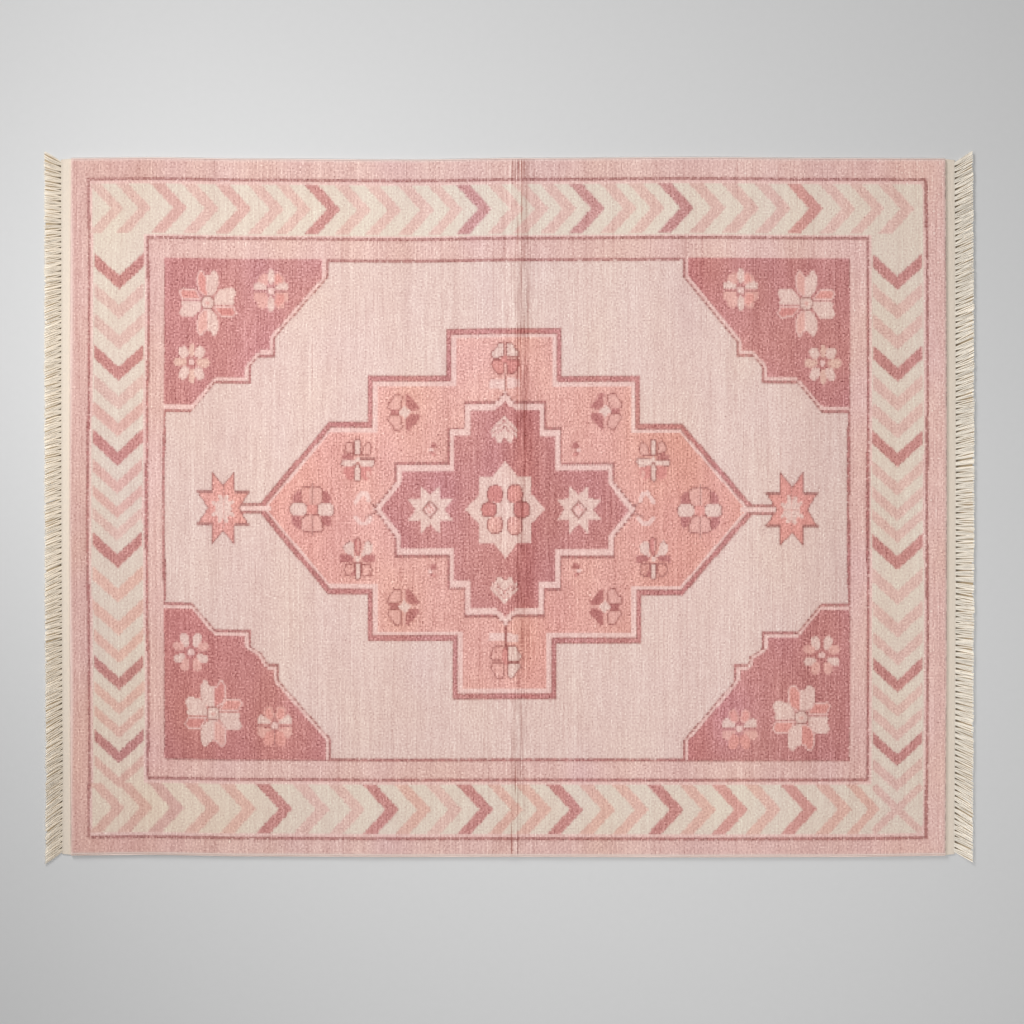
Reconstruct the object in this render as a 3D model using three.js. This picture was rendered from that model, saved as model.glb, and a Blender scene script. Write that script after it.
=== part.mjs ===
// A hand-knotted wool rug lying flat, in millimetres, with X along its warps and Y across them: a pile
// field, an overcast selvedge along each long edge and, at each short end, a flat-woven band that runs
// out into fringe locks.
import * as THREE from "three";

// Overall cloth
const PILE_LENGTH = 3050;
const RUG_WIDTH = 2440;
const GAP = 0.3;

// Round overcast selvedge along each long edge
const SELVEDGE_WIDTH = 5.6;
const SELVEDGE_HEIGHT = 7;
const SELVEDGE_SIDES = 8;

// Pile field, foundation included
const PILE_WIDTH = RUG_WIDTH - 2 * (SELVEDGE_WIDTH + GAP);
const PILE_HEIGHT = 10;
const RIM_HEIGHT = 6.5;
const SHOULDER_HEIGHT = 9.2;
const SHOULDER_WIDTH = 3.5;
const LENGTH_STEP = 90;
const WIDTH_STEP = 120;

// The short ends bulge a little at mid-width
const END_BOW = 5;

// How far each long edge strays from straight, towards +Y, at places along X
const EDGE_SWAY = [
  { x: -1525, back: 0.5, front: 4 },
  { x: -1250, back: 2.5, front: 6 },
  { x: -900, back: -2, front: 1 },
  { x: -350, back: -5.5, front: -1.5 },
  { x: 50, back: 0, front: -1 },
  { x: 650, back: 3.5, front: -2.5 },
  { x: 1150, back: 0, front: -1.5 },
  { x: 1525, back: -1, front: 3 },
];

// Soft ridge left by the storage fold, from the back edge to the front edge
const FOLD = { backX: 42, frontX: 14, backHalfWidth: 42, frontHalfWidth: 22, height: 2.4 };
const FOLD_STEP = 14;
const FOLD_REACH = 98;

// Low swells of the pile: wavelength along X, drift of the crests over Y, height and phase
const SWELLS = [
  { length: 610, drift: 0.06, height: 0.45, phase: 0.4 },
  { length: 370, drift: -0.04, height: 0.35, phase: 2.1 },
  { length: 233, drift: 0.03, height: 0.25, phase: 4.4 },
];

// Flat-woven end bands
const BAND_WIDTH = 30;
const BAND_HEIGHT = 3;
const BAND_TAPER = 4;
const BAND_OUTER_HALF = RUG_WIDTH / 2 - 7;

// Fringe locks
const LOCKS_PER_END = 120;
const LOCK_SPAN = RUG_WIDTH - 22;
const LOCK_ROOT_WIDTH = 5.5;
const LOCK_CROWN = 0.62;
const LENGTH_SPREAD = 4;

// A lock's width and height at shares of its length past the root
const LOCK_STATIONS = [
  { share: 0.4, width: 10.5, height: 3 },
  { share: 1, width: 15, height: 1.8 },
];

// Each end: its direction, how far its locks reach and lean, and the splay of its outermost locks
const ENDS = [
  { name: "left", side: -1, reach: 58, lean: -7, phase: 0.7, backSplay: 10, frontSplay: 22 },
  { name: "right", side: 1, reach: 64, lean: 5, phase: 3.9, backSplay: 6, frontSplay: 14 },
];
const SPLAY_ZONE = 130;
const LEAN_WAVES = [
  { length: 430, height: 4.5 },
  { length: 170, height: 3 },
];

const WOOL = { color: 0xdfa79d, roughness: 0.95, metalness: 0 };
const SELVEDGE_WOOL = { color: 0xe6c2b4, roughness: 0.95, metalness: 0 };
const COTTON = { color: 0xe2d3bf, roughness: 0.92, metalness: 0 };

// A repeatable number from 0 to 1 for a whole number
function scatter(index) {
  const value = Math.sin(index * 127.1 + 11.7) * 43758.5453;
  return value - Math.floor(value);
}

// The named column of EDGE_SWAY at x, eased between its places
function swayAt(x, column) {
  const last = EDGE_SWAY.length - 1;
  const at = THREE.MathUtils.clamp(x, EDGE_SWAY[0].x, EDGE_SWAY[last].x);
  const next = Math.max(1, EDGE_SWAY.findIndex((row) => row.x >= at));
  const low = EDGE_SWAY[next - 1];
  const high = EDGE_SWAY[next];
  const share = THREE.MathUtils.smoothstep(at, low.x, high.x);
  return THREE.MathUtils.lerp(low[column], high[column], share);
}

// Moves a point of the straight rug to where it lies: ends bowed out, long edges strayed
function lie(x, y) {
  const half = RUG_WIDTH / 2;
  const bow = END_BOW * (1 - (y / half) ** 2) * (x / (PILE_LENGTH / 2));
  const sway = THREE.MathUtils.lerp(swayAt(x, "front"), swayAt(x, "back"), (y + half) / RUG_WIDTH);
  return new THREE.Vector2(x + bow, y + sway);
}

// Height of the pile's top: swells and the fold's ridge on the pile height
function pileTop(x, y) {
  const across = (y + PILE_WIDTH / 2) / PILE_WIDTH;
  const ridgeX = THREE.MathUtils.lerp(FOLD.frontX, FOLD.backX, across);
  const halfWidth = THREE.MathUtils.lerp(FOLD.frontHalfWidth, FOLD.backHalfWidth, across);
  const ridge = FOLD.height * Math.exp(-(((x - ridgeX) / halfWidth) ** 2));
  let swell = 0;
  for (const { length, drift, height, phase } of SWELLS) {
    swell += height * Math.sin((2 * Math.PI * (x + drift * y)) / length + phase);
  }
  return PILE_HEIGHT + ridge + swell;
}

// Evenly spaced places from -half to half, with the shoulder of the rim and the finer places added
function places(half, step, finer = []) {
  const inner = half - SHOULDER_WIDTH;
  const count = Math.round((2 * inner) / step);
  const even = Array.from({ length: count + 1 }, (_, i) => -inner + (2 * inner * i) / count);
  const clear = even.filter((at) => finer.every((fine) => Math.abs(fine - at) > FOLD_STEP));
  return [-half, ...clear, ...finer, half].sort((a, b) => a - b);
}

function foldPlaces() {
  const count = Math.round((2 * FOLD_REACH) / FOLD_STEP);
  const middle = (FOLD.backX + FOLD.frontX) / 2;
  return Array.from({ length: count + 1 }, (_, i) => middle - FOLD_REACH + i * FOLD_STEP);
}

const LENGTH_PLACES = places(PILE_LENGTH / 2, LENGTH_STEP, foldPlaces());
const WIDTH_PLACES = places(PILE_WIDTH / 2, WIDTH_STEP);

// A closed skin under construction: its points, and triangles that face outwards
class Skin {
  points = [];
  triangles = [];

  add(x, y, z) {
    this.points.push(x, y, z);
    return this.points.length / 3 - 1;
  }

  quad(a, b, c, d) {
    this.triangles.push(a, b, c, a, c, d);
  }

  // Joins rings of points into a tube; each ring runs anticlockwise seen from the tube's far end
  tube(rings, isOpen = () => false) {
    rings.slice(1).forEach((ring, r) => {
      ring.forEach((far, k) => {
        const next = (k + 1) % ring.length;
        if (!isOpen(r, k)) {
          this.quad(rings[r][k], rings[r][next], ring[next], far);
        }
      });
    });
  }

  cap(ring, isFar) {
    for (let k = 1; k < ring.length - 1; k += 1) {
      const [b, c] = isFar ? [ring[k], ring[k + 1]] : [ring[k + 1], ring[k]];
      this.triangles.push(ring[0], b, c);
    }
  }

  geometry() {
    const geometry = new THREE.BufferGeometry();
    geometry.setAttribute("position", new THREE.Float32BufferAttribute(this.points, 3));
    geometry.setIndex(this.triangles);
    return geometry;
  }
}

// The pile field: a grid of top points that drops to a low rim, vertical sides and a flat underside
function pileGeometry() {
  const skin = new Skin();
  const columns = LENGTH_PLACES.length;
  const rows = WIDTH_PLACES.length;
  const grid = LENGTH_PLACES.map((x, i) =>
    WIDTH_PLACES.map((y, j) => {
      const edge = Math.min(i, columns - 1 - i, j, rows - 1 - j);
      const top = edge === 0 ? RIM_HEIGHT : edge === 1 ? SHOULDER_HEIGHT : pileTop(x, y);
      const at = lie(x, y);
      return skin.add(at.x, at.y, top);
    }),
  );
  for (let i = 0; i < columns - 1; i += 1) {
    for (let j = 0; j < rows - 1; j += 1) {
      skin.quad(grid[i][j], grid[i + 1][j], grid[i + 1][j + 1], grid[i][j + 1]);
    }
  }
  const rim = [
    ...grid.map((column) => column[0]),
    ...grid[columns - 1].slice(1),
    ...grid.slice(0, -1).reverse().map((column) => column[rows - 1]),
    ...grid[0].slice(1, -1).reverse(),
  ];
  const outline = rim.map((k) => new THREE.Vector2(skin.points[3 * k], skin.points[3 * k + 1]));
  const floor = outline.map((at) => skin.add(at.x, at.y, 0));
  skin.tube([floor, rim]);
  for (const [a, b, c] of THREE.ShapeUtils.triangulateShape(outline, [])) {
    skin.triangles.push(floor[a], floor[c], floor[b]);
  }
  return skin.geometry();
}

// The selvedge of one long edge: a round section on the floor, following the pile's edge
function selvedgeGeometry(side) {
  const skin = new Skin();
  const flat = Math.cos(Math.PI / SELVEDGE_SIDES);
  const rings = LENGTH_PLACES.map((x) => {
    const edge = lie(x, (side * PILE_WIDTH) / 2);
    const middle = edge.y + side * (GAP + SELVEDGE_WIDTH / 2);
    return Array.from({ length: SELVEDGE_SIDES }, (_, k) => {
      const turn = (2 * Math.PI * (k + 0.5)) / SELVEDGE_SIDES;
      const y = middle + ((SELVEDGE_WIDTH / 2) * Math.cos(turn)) / flat;
      const z = (SELVEDGE_HEIGHT / 2) * (1 + Math.sin(turn) / flat);
      return skin.add(edge.x, y, z);
    });
  });
  skin.tube(rings);
  skin.cap(rings[0], false);
  skin.cap(rings[rings.length - 1], true);
  return skin.geometry();
}

// How far a lock's tip leans towards +Y from its root at y
function leanAt(end, y) {
  let lean = end.lean * Math.cos((Math.PI * y) / LOCK_SPAN);
  for (const { length, height } of LEAN_WAVES) {
    lean += height * Math.sin((2 * Math.PI * y) / length + end.phase);
  }
  const calm = THREE.MathUtils.smoothstep(LOCK_SPAN / 2 - Math.abs(y), 0, SPLAY_ZONE);
  const splay = y > 0 ? end.backSplay : -end.frontSplay;
  return lean * calm + splay * (1 - calm) ** 2;
}

// The section of an end's band at y: four corners, its outer side towards the fringe
function bandRing(skin, end, y) {
  const far = lie((end.side * PILE_LENGTH) / 2, y);
  const near = lie((end.side * PILE_LENGTH) / 2, y * (1 + BAND_TAPER / BAND_OUTER_HALF));
  const inner = { x: near.x + end.side * GAP, y: near.y };
  const outer = { x: far.x + end.side * (GAP + BAND_WIDTH), y: far.y };
  const [first, second] = end.side > 0 ? [outer, inner] : [inner, outer];
  return [
    skin.add(first.x, first.y, 0),
    skin.add(second.x, second.y, 0),
    skin.add(second.x, second.y, BAND_HEIGHT),
    skin.add(first.x, first.y, BAND_HEIGHT),
  ];
}

// One fringe lock: a four-sided taper on the floor, grown from the band's outer side between two rings
function addLock(skin, end, index, rootY, low, high) {
  const root = lie((end.side * PILE_LENGTH) / 2, rootY);
  const reach = end.reach + LENGTH_SPREAD * (scatter(index) - 0.5);
  const lean = leanAt(end, rootY);
  const isRight = end.side > 0;
  const start = isRight ? [low[0], high[0], high[3], low[3]] : [high[1], low[1], low[2], high[2]];
  const rings = LOCK_STATIONS.map(({ share, width, height }) => {
    const x = root.x + end.side * (GAP + BAND_WIDTH + reach * share);
    const y = root.y + lean * share ** 1.4;
    const foot = (end.side * width) / 2;
    const crown = foot * LOCK_CROWN;
    return [
      skin.add(x, y - foot, 0),
      skin.add(x, y + foot, 0),
      skin.add(x, y + crown, height),
      skin.add(x, y - crown, height),
    ];
  });
  skin.tube([start, ...rings]);
  skin.cap(rings[rings.length - 1], true);
}

// One end: its band, open on the outer side where each lock grows out of it
function endGeometry(end) {
  const skin = new Skin();
  const shares = Array.from({ length: LOCKS_PER_END }, (_, i) => (i + 0.5) / LOCKS_PER_END - 0.5);
  const roots = shares.map((share) => LOCK_SPAN * share);
  const cuts = roots.flatMap((y) => [y - LOCK_ROOT_WIDTH / 2, y + LOCK_ROOT_WIDTH / 2]);
  const edges = [-BAND_OUTER_HALF, ...cuts, BAND_OUTER_HALF];
  const rings = edges.map((y) => bandRing(skin, end, y));
  const outerFace = end.side > 0 ? 3 : 1;
  skin.tube(rings, (r, k) => r % 2 === 1 && k === outerFace);
  skin.cap(rings[0], false);
  skin.cap(rings[rings.length - 1], true);
  roots.forEach((y, i) => addLock(skin, end, i, y, rings[2 * i + 1], rings[2 * i + 2]));
  return skin.geometry();
}

function named(name, geometry, finish) {
  const mesh = new THREE.Mesh(geometry, new THREE.MeshStandardMaterial(finish));
  mesh.name = name;
  return mesh;
}

const rug = new THREE.Group();
rug.add(named("pile_field", pileGeometry(), WOOL));
rug.add(named("selvedge_back", selvedgeGeometry(1), SELVEDGE_WOOL));
rug.add(named("selvedge_front", selvedgeGeometry(-1), SELVEDGE_WOOL));
for (const end of ENDS) {
  rug.add(named(`end_fringe_${end.name}`, endGeometry(end), COTTON));
}

export default rug;
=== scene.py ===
"""A hand-knotted wool rug that lies flat on a pale floor, seen from straight above.

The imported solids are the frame. Over them this script knots the pile as four strips of a knot grid, coloured
from a chart drawn in millimetres, and adds the woven back, the overcast selvedges, the flat-woven end bands
and the fringe. All lengths are in millimetres, as in the solids, and turn into metres where a mesh is made.
"""

import logging
import math
from dataclasses import dataclass, field, replace
from enum import Enum, IntEnum

import bpy
import numpy as np
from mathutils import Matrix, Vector


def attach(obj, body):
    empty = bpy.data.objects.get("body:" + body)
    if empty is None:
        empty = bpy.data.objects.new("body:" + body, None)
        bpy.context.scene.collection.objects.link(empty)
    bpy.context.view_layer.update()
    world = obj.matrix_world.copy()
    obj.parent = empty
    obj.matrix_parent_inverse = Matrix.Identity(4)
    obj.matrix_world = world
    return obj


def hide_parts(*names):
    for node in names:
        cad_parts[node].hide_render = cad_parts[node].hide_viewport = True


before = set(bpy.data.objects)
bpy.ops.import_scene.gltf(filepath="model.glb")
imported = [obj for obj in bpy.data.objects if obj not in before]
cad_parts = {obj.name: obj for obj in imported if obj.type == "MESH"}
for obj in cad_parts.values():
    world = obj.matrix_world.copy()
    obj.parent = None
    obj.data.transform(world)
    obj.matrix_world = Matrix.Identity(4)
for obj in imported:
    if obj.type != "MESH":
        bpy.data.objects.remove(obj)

LOG = logging.getLogger("rug")
MM = 0.001
ROOT_BODY = "root"
YARN_ATTRIBUTE = "yarn"
BAKE_MAP = "OFBake"
SEED = 20

Array = np.ndarray
Point = tuple[float, float]
Triple = tuple[float, float, float]
Colour = Triple
Piece = bpy.types.Object
Look = bpy.types.Material
Socket = bpy.types.NodeSocket

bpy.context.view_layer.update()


class Domain(Enum):
    """What of a mesh holds a colour each."""

    FACE = "FACE"
    POINT = "POINT"


class Ridges(Enum):
    """The axis that a pattern's ridges lie across."""

    ACROSS_X = "X"
    ACROSS_Y = "Y"


def linear(srgb: Colour) -> Array:
    """Turns a 0 to 255 display colour into linear light.

    Args:
        srgb: Red, green and blue from 0 to 255.

    Returns:
        Three linear values from 0 to 1.
    """
    share = np.array(srgb, float) / 255
    return np.where(share <= 0.04045, share / 12.92, ((share + 0.055) / 1.055) ** 2.4)


def smoothstep(t: Array) -> Array:
    """Eases 0..1 with the cubic 3t^2 - 2t^3, held at its ends."""
    t = np.clip(t, 0, 1)
    return t * t * (3 - 2 * t)


def bell(values: Array, middle: float, reach: float) -> Array:
    """A bell curve: 1 at the middle, falling as e^-(distance/reach)^2."""
    return np.exp(-(((values - middle) / reach) ** 2))


def blurred(values: Array, steps: float, axis: int) -> Array:
    """Blurs values along one axis with a bell curve, the ends joined, and brings them back to unit spread.

    Args:
        values: Any array of noise.
        steps: The bell's standard deviation in array steps.
        axis: The axis to blur along.

    Returns:
        The blurred array, with mean 0 and standard deviation 1.
    """
    count = values.shape[axis]
    waves = np.fft.rfftfreq(count)
    shape = [1] * values.ndim
    shape[axis] = len(waves)
    kept = np.exp(-2 * (math.pi * waves * steps) ** 2).reshape(shape)
    out = np.fft.irfft(np.fft.rfft(values, axis=axis) * kept, n=count, axis=axis)
    return (out - out.mean()) / max(out.std(), 1e-9)


@dataclass(frozen=True)
class RugForm:
    """The lying rug's sizes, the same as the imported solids', and where its cloth lies."""

    pile_length: float = 3050.0
    rug_width: float = 2440.0
    pile_width: float = 2428.2
    gap: float = 0.3
    end_bow: float = 5.0
    sway_x: tuple[float, ...] = (-1525, -1250, -900, -350, 50, 650, 1150, 1525)
    sway_back: tuple[float, ...] = (0.5, 2.5, -2, -5.5, 0, 3.5, 0, -1)
    sway_front: tuple[float, ...] = (4, 6, 1, -1.5, -1, -2.5, -1.5, 3)
    pile_height: float = 10.0
    fold_x: Point = (14.0, 42.0)
    fold_half_width: Point = (22.0, 42.0)
    fold_height: float = 2.4
    swells: tuple[tuple[float, float, float, float], ...] = (
        (610, 0.06, 0.45, 0.4),
        (370, -0.04, 0.35, 2.1),
        (233, 0.03, 0.25, 4.4),
    )

    def sway(self, x: Array, column: tuple[float, ...]) -> Array:
        """How far a long edge strays towards +Y at x: its listed strays, eased between their places."""
        places = np.array(self.sway_x)
        strays = np.array(column)
        at = np.clip(x, places[0], places[-1])
        high = np.clip(np.searchsorted(places, at, side="left"), 1, len(places) - 1)
        share = smoothstep((at - places[high - 1]) / (places[high] - places[high - 1]))
        return strays[high - 1] + (strays[high] - strays[high - 1]) * share

    def lie(self, x: Array, y: Array) -> tuple[Array, Array]:
        """Moves points of the straight rug to where they lie.

        x gains the bow of the ends, largest at mid-width, and y gains the stray of the two long edges,
        blended across the rug.

        Args:
            x: Places along the warps.
            y: Places across the rug.

        Returns:
            The places where those points lie.
        """
        half = self.rug_width / 2
        bow = self.end_bow * (1 - (y / half) ** 2) * (x / (self.pile_length / 2))
        across = (y + half) / self.rug_width
        front = self.sway(x, self.sway_front)
        back = self.sway(x, self.sway_back)
        return x + bow, y + front + (back - front) * across

    def top(self, x: Array, y: Array) -> Array:
        """Height of the pile's top: the pile, a bell-shaped ridge along the fold and three low sine swells."""
        across = (y + self.pile_width / 2) / self.pile_width
        ridge_x = self.fold_x[0] + (self.fold_x[1] - self.fold_x[0]) * across
        half = self.fold_half_width[0] + (self.fold_half_width[1] - self.fold_half_width[0]) * across
        height = self.pile_height + self.fold_height * np.exp(-(((x - ridge_x) / half) ** 2))
        for length, drift, swell, phase in self.swells:
            height = height + swell * np.sin(2 * math.pi * (x + drift * y) / length + phase)
        return height


FORM = RugForm()


@dataclass(frozen=True)
class KnotGrid:
    """The knots of the pile: columns along the warps and rows across the rug."""

    along: int = 692
    across: int = 450

    @property
    def pitch_u(self) -> float:
        """Distance between knots along the warps."""
        return FORM.pile_length / self.along

    @property
    def pitch_v(self) -> float:
        """Distance between knots across the rug."""
        return FORM.pile_width / self.across

    def centres(self) -> tuple[Array, Array]:
        """Middles of the knots along and across the rug."""
        u = (np.arange(self.along) + 0.5) * self.pitch_u - FORM.pile_length / 2
        v = (np.arange(self.across) + 0.5) * self.pitch_v - FORM.pile_width / 2
        return u, v

    def corners(self) -> tuple[Array, Array]:
        """Edges between the knots along and across the rug."""
        u = np.arange(self.along + 1) * self.pitch_u - FORM.pile_length / 2
        v = np.arange(self.across + 1) * self.pitch_v - FORM.pile_width / 2
        return u, v


GRID = KnotGrid()


@dataclass(frozen=True)
class Dye:
    """One yarn's colour in daylight, and how much its knots, its rows and its broad bands differ."""

    srgb: Colour
    fleck: float
    streak: float
    abrash: float


class Yarn(IntEnum):
    """The yarns that the rug is knotted from."""

    BLUSH = 0
    PINK = 1
    CREAM = 2
    GUARD = 3
    ROSE = 4
    CORAL = 5
    IVORY = 6
    SALMON = 7
    PALE = 8
    DEEP = 9
    DARK = 10
    FADED = 11
    MID = 12
    LIGHT = 13
    PEACH = 14
    SHELL = 15
    BRICK = 16
    UMBER = 17


DYES: dict[Yarn, Dye] = {
    Yarn.BLUSH: Dye((222, 193, 184), 0.038, 0.027, 0.012),
    Yarn.PINK: Dye((220, 182, 173), 0.050, 0.034, 0.024),
    Yarn.CREAM: Dye((222, 204, 189), 0.026, 0.018, 0.010),
    Yarn.GUARD: Dye((183, 119, 115), 0.080, 0.034, 0.025),
    Yarn.ROSE: Dye((193, 131, 128), 0.088, 0.046, 0.034),
    Yarn.CORAL: Dye((221, 167, 157), 0.070, 0.036, 0.026),
    Yarn.IVORY: Dye((223, 189, 179), 0.045, 0.026, 0.010),
    Yarn.SALMON: Dye((216, 150, 141), 0.060, 0.030, 0.018),
    Yarn.PALE: Dye((229, 191, 183), 0.042, 0.026, 0.010),
    Yarn.DEEP: Dye((156, 92, 87), 0.080, 0.030, 0.020),
    Yarn.DARK: Dye((198, 139, 133), 0.070, 0.040, 0.022),
    Yarn.FADED: Dye((208, 152, 144), 0.050, 0.030, 0.020),
    Yarn.MID: Dye((214, 171, 161), 0.040, 0.026, 0.016),
    Yarn.LIGHT: Dye((220, 183, 172), 0.040, 0.026, 0.016),
    Yarn.PEACH: Dye((220, 178, 164), 0.040, 0.026, 0.016),
    Yarn.SHELL: Dye((220, 167, 157), 0.045, 0.025, 0.016),
    Yarn.BRICK: Dye((205, 136, 130), 0.055, 0.030, 0.020),
    Yarn.UMBER: Dye((166, 113, 107), 0.080, 0.034, 0.020),
}


def path(text: str) -> tuple[Point, ...]:
    """Reads places written as "u,v u,v", in millimetres."""
    return tuple((float(word.split(",")[0]), float(word.split(",")[1])) for word in text.split())


def flipped(text: str, along: float, across: float) -> str:
    """A path with its places multiplied along and across the rug."""
    return " ".join(f"{u * along:g},{v * across:g}" for u, v in path(text))


class Shape:
    """A region of the design, in millimetres from its motif's centre."""

    def mask(self, u: Array, v: Array) -> Array:
        """True where the region covers the points (u, v)."""
        raise NotImplementedError

    def mirrored(self) -> "Shape":
        """Its mirror image on the other side of the motif's upright axis."""
        raise NotImplementedError


@dataclass(frozen=True)
class Oval(Shape):
    """A rounded petal: |x/ru|^power + |y/rv|^power is at most 1, turned by an angle in degrees."""

    cu: float
    cv: float
    ru: float
    rv: float
    turn: float = 0.0
    power: float = 2.5

    def mask(self, u: Array, v: Array) -> Array:
        """True inside the oval."""
        angle = math.radians(self.turn)
        du, dv = u - self.cu, v - self.cv
        x = du * math.cos(angle) + dv * math.sin(angle)
        y = dv * math.cos(angle) - du * math.sin(angle)
        return np.abs(x / self.ru) ** self.power + np.abs(y / self.rv) ** self.power <= 1

    def mirrored(self) -> Shape:
        """The oval on the other side."""
        return replace(self, cu=-self.cu, turn=-self.turn)


@dataclass(frozen=True)
class Outline(Shape):
    """A closed outline with straight sides, its corners written as "u,v u,v"."""

    corners: str

    def mask(self, u: Array, v: Array) -> Array:
        """True inside: a point is inside if a ray from it crosses the outline an odd number of times."""
        points = path(self.corners)
        inside = np.zeros(np.broadcast(u, v).shape, bool)
        for (u0, v0), (u1, v1) in zip(points, points[1:] + points[:1]):
            if v0 != v1:
                inside ^= ((v0 > v) != (v1 > v)) & (u < (u1 - u0) * (v - v0) / (v1 - v0) + u0)
        return inside

    def mirrored(self) -> Shape:
        """The outline on the other side."""
        return Outline(flipped(self.corners, -1, 1))


@dataclass(frozen=True)
class Line(Shape):
    """A path of straight pieces with a width; a beaded one is cut into dashes, one for each bead's length."""

    places: str
    width: float
    bead: float = 0.0
    dash: float = 0.55

    def mask(self, u: Array, v: Array) -> Array:
        """True within half the width of the path, and on a bead if it is beaded."""
        points = path(self.places)
        covered = np.zeros(np.broadcast(u, v).shape, bool)
        gone = 0.0
        for (u0, v0), (u1, v1) in zip(points, points[1:]):
            length = math.hypot(u1 - u0, v1 - v0)
            along = np.clip(((u - u0) * (u1 - u0) + (v - v0) * (v1 - v0)) / length, 0, length)
            away = np.hypot(u - u0 - along * (u1 - u0) / length, v - v0 - along * (v1 - v0) / length)
            near = away <= self.width / 2
            if self.bead:
                near &= (gone + along) % self.bead < self.bead * self.dash
            covered |= near
            gone += length
        return covered


@dataclass(frozen=True)
class Piping(Shape):
    """A line just inside an open outline, with its own width on upright, level and slanting sides."""

    places: str
    upright: float
    level: float
    slant: float

    def mask(self, u: Array, v: Array) -> Array:
        """True near a side; upright and level sides that meet reach past their ends, for a square corner."""
        points = path(self.places)
        slants = [True, *(u0 != u1 and v0 != v1 for (u0, v0), (u1, v1) in zip(points, points[1:])), True]
        covered = np.zeros(np.broadcast(u, v).shape, bool)
        for k, ((u0, v0), (u1, v1)) in enumerate(zip(points, points[1:])):
            if slants[k + 1]:
                covered |= Line(f"{u0},{v0} {u1},{v1}", 2 * self.slant).mask(u, v)
                continue
            level = v0 == v1
            past = self.upright if level else self.level
            aside, beside = (np.abs(v - v0) < self.level, u) if level else (np.abs(u - u0) < self.upright, v)
            start, end = (u0, u1) if level else (v0, v1)
            ahead = 1 if end > start else -1
            start, end = start - ahead * past * (not slants[k]), end + ahead * past * (not slants[k + 2])
            covered |= aside & (beside > min(start, end)) & (beside < max(start, end))
        return covered


@dataclass(frozen=True)
class Mark:
    """A shape in one yarn, with an edge of another yarn one knot wide if it has one."""

    shape: Shape
    yarn: Yarn
    edge: Yarn | None = None


Motif = tuple[Mark, ...]


def shape_of(kind: str, words: list[str]) -> Shape:
    """Reads one shape of a motif.

    Args:
        kind: area, oval or line.
        words: An area's corners, an oval's numbers, or a line's width, its bead after a slash, and places.

    Returns:
        The shape.
    """
    if kind == "area":
        return Outline(" ".join(words))
    if kind == "oval":
        return Oval(*map(float, words))
    width, _, bead = words[0].partition("/")
    return Line(" ".join(words[1:]), float(width), float(bead or 0))


def marks(text: str) -> Motif:
    """Reads a motif's marks, in the order in which they are knotted.

    Args:
        text: Marks with semicolons between. Each is its shape's kind, with an s if its mirror image follows,
            its yarn, with the edge's yarn after a plus, and the shape.

    Returns:
        The marks.
    """
    made = []
    for entry in text.split(";"):
        kind, dyes, *words = entry.split()
        yarns = [Yarn[name.upper()] for name in dyes.split("+")]
        shape = shape_of(kind.rstrip("s"), words)
        twins = [shape.mirrored()] if kind.endswith("s") else []
        made += [Mark(each, *yarns) for each in (shape, *twins)]
    return tuple(made)


def shrunk(mask: Array) -> Array:
    """Draws a region in by one knot; knots past the array's edge count as inside."""
    grown = np.pad(mask, 1, mode="edge")
    return mask & grown[:-2, 1:-1] & grown[2:, 1:-1] & grown[1:-1, :-2] & grown[1:-1, 2:]


@dataclass(frozen=True)
class Rails:
    """The four straight lines of a frame round the rug, at u for left and right and v for back and front."""

    left: float
    right: float
    back: float
    front: float

    def path(self) -> str:
        """The frame's closed path."""
        left, right, back, front = self.left, self.right, self.back, self.front
        return f"{left},{front} {right},{front} {right},{back} {left},{back} {left},{front}"


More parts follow.
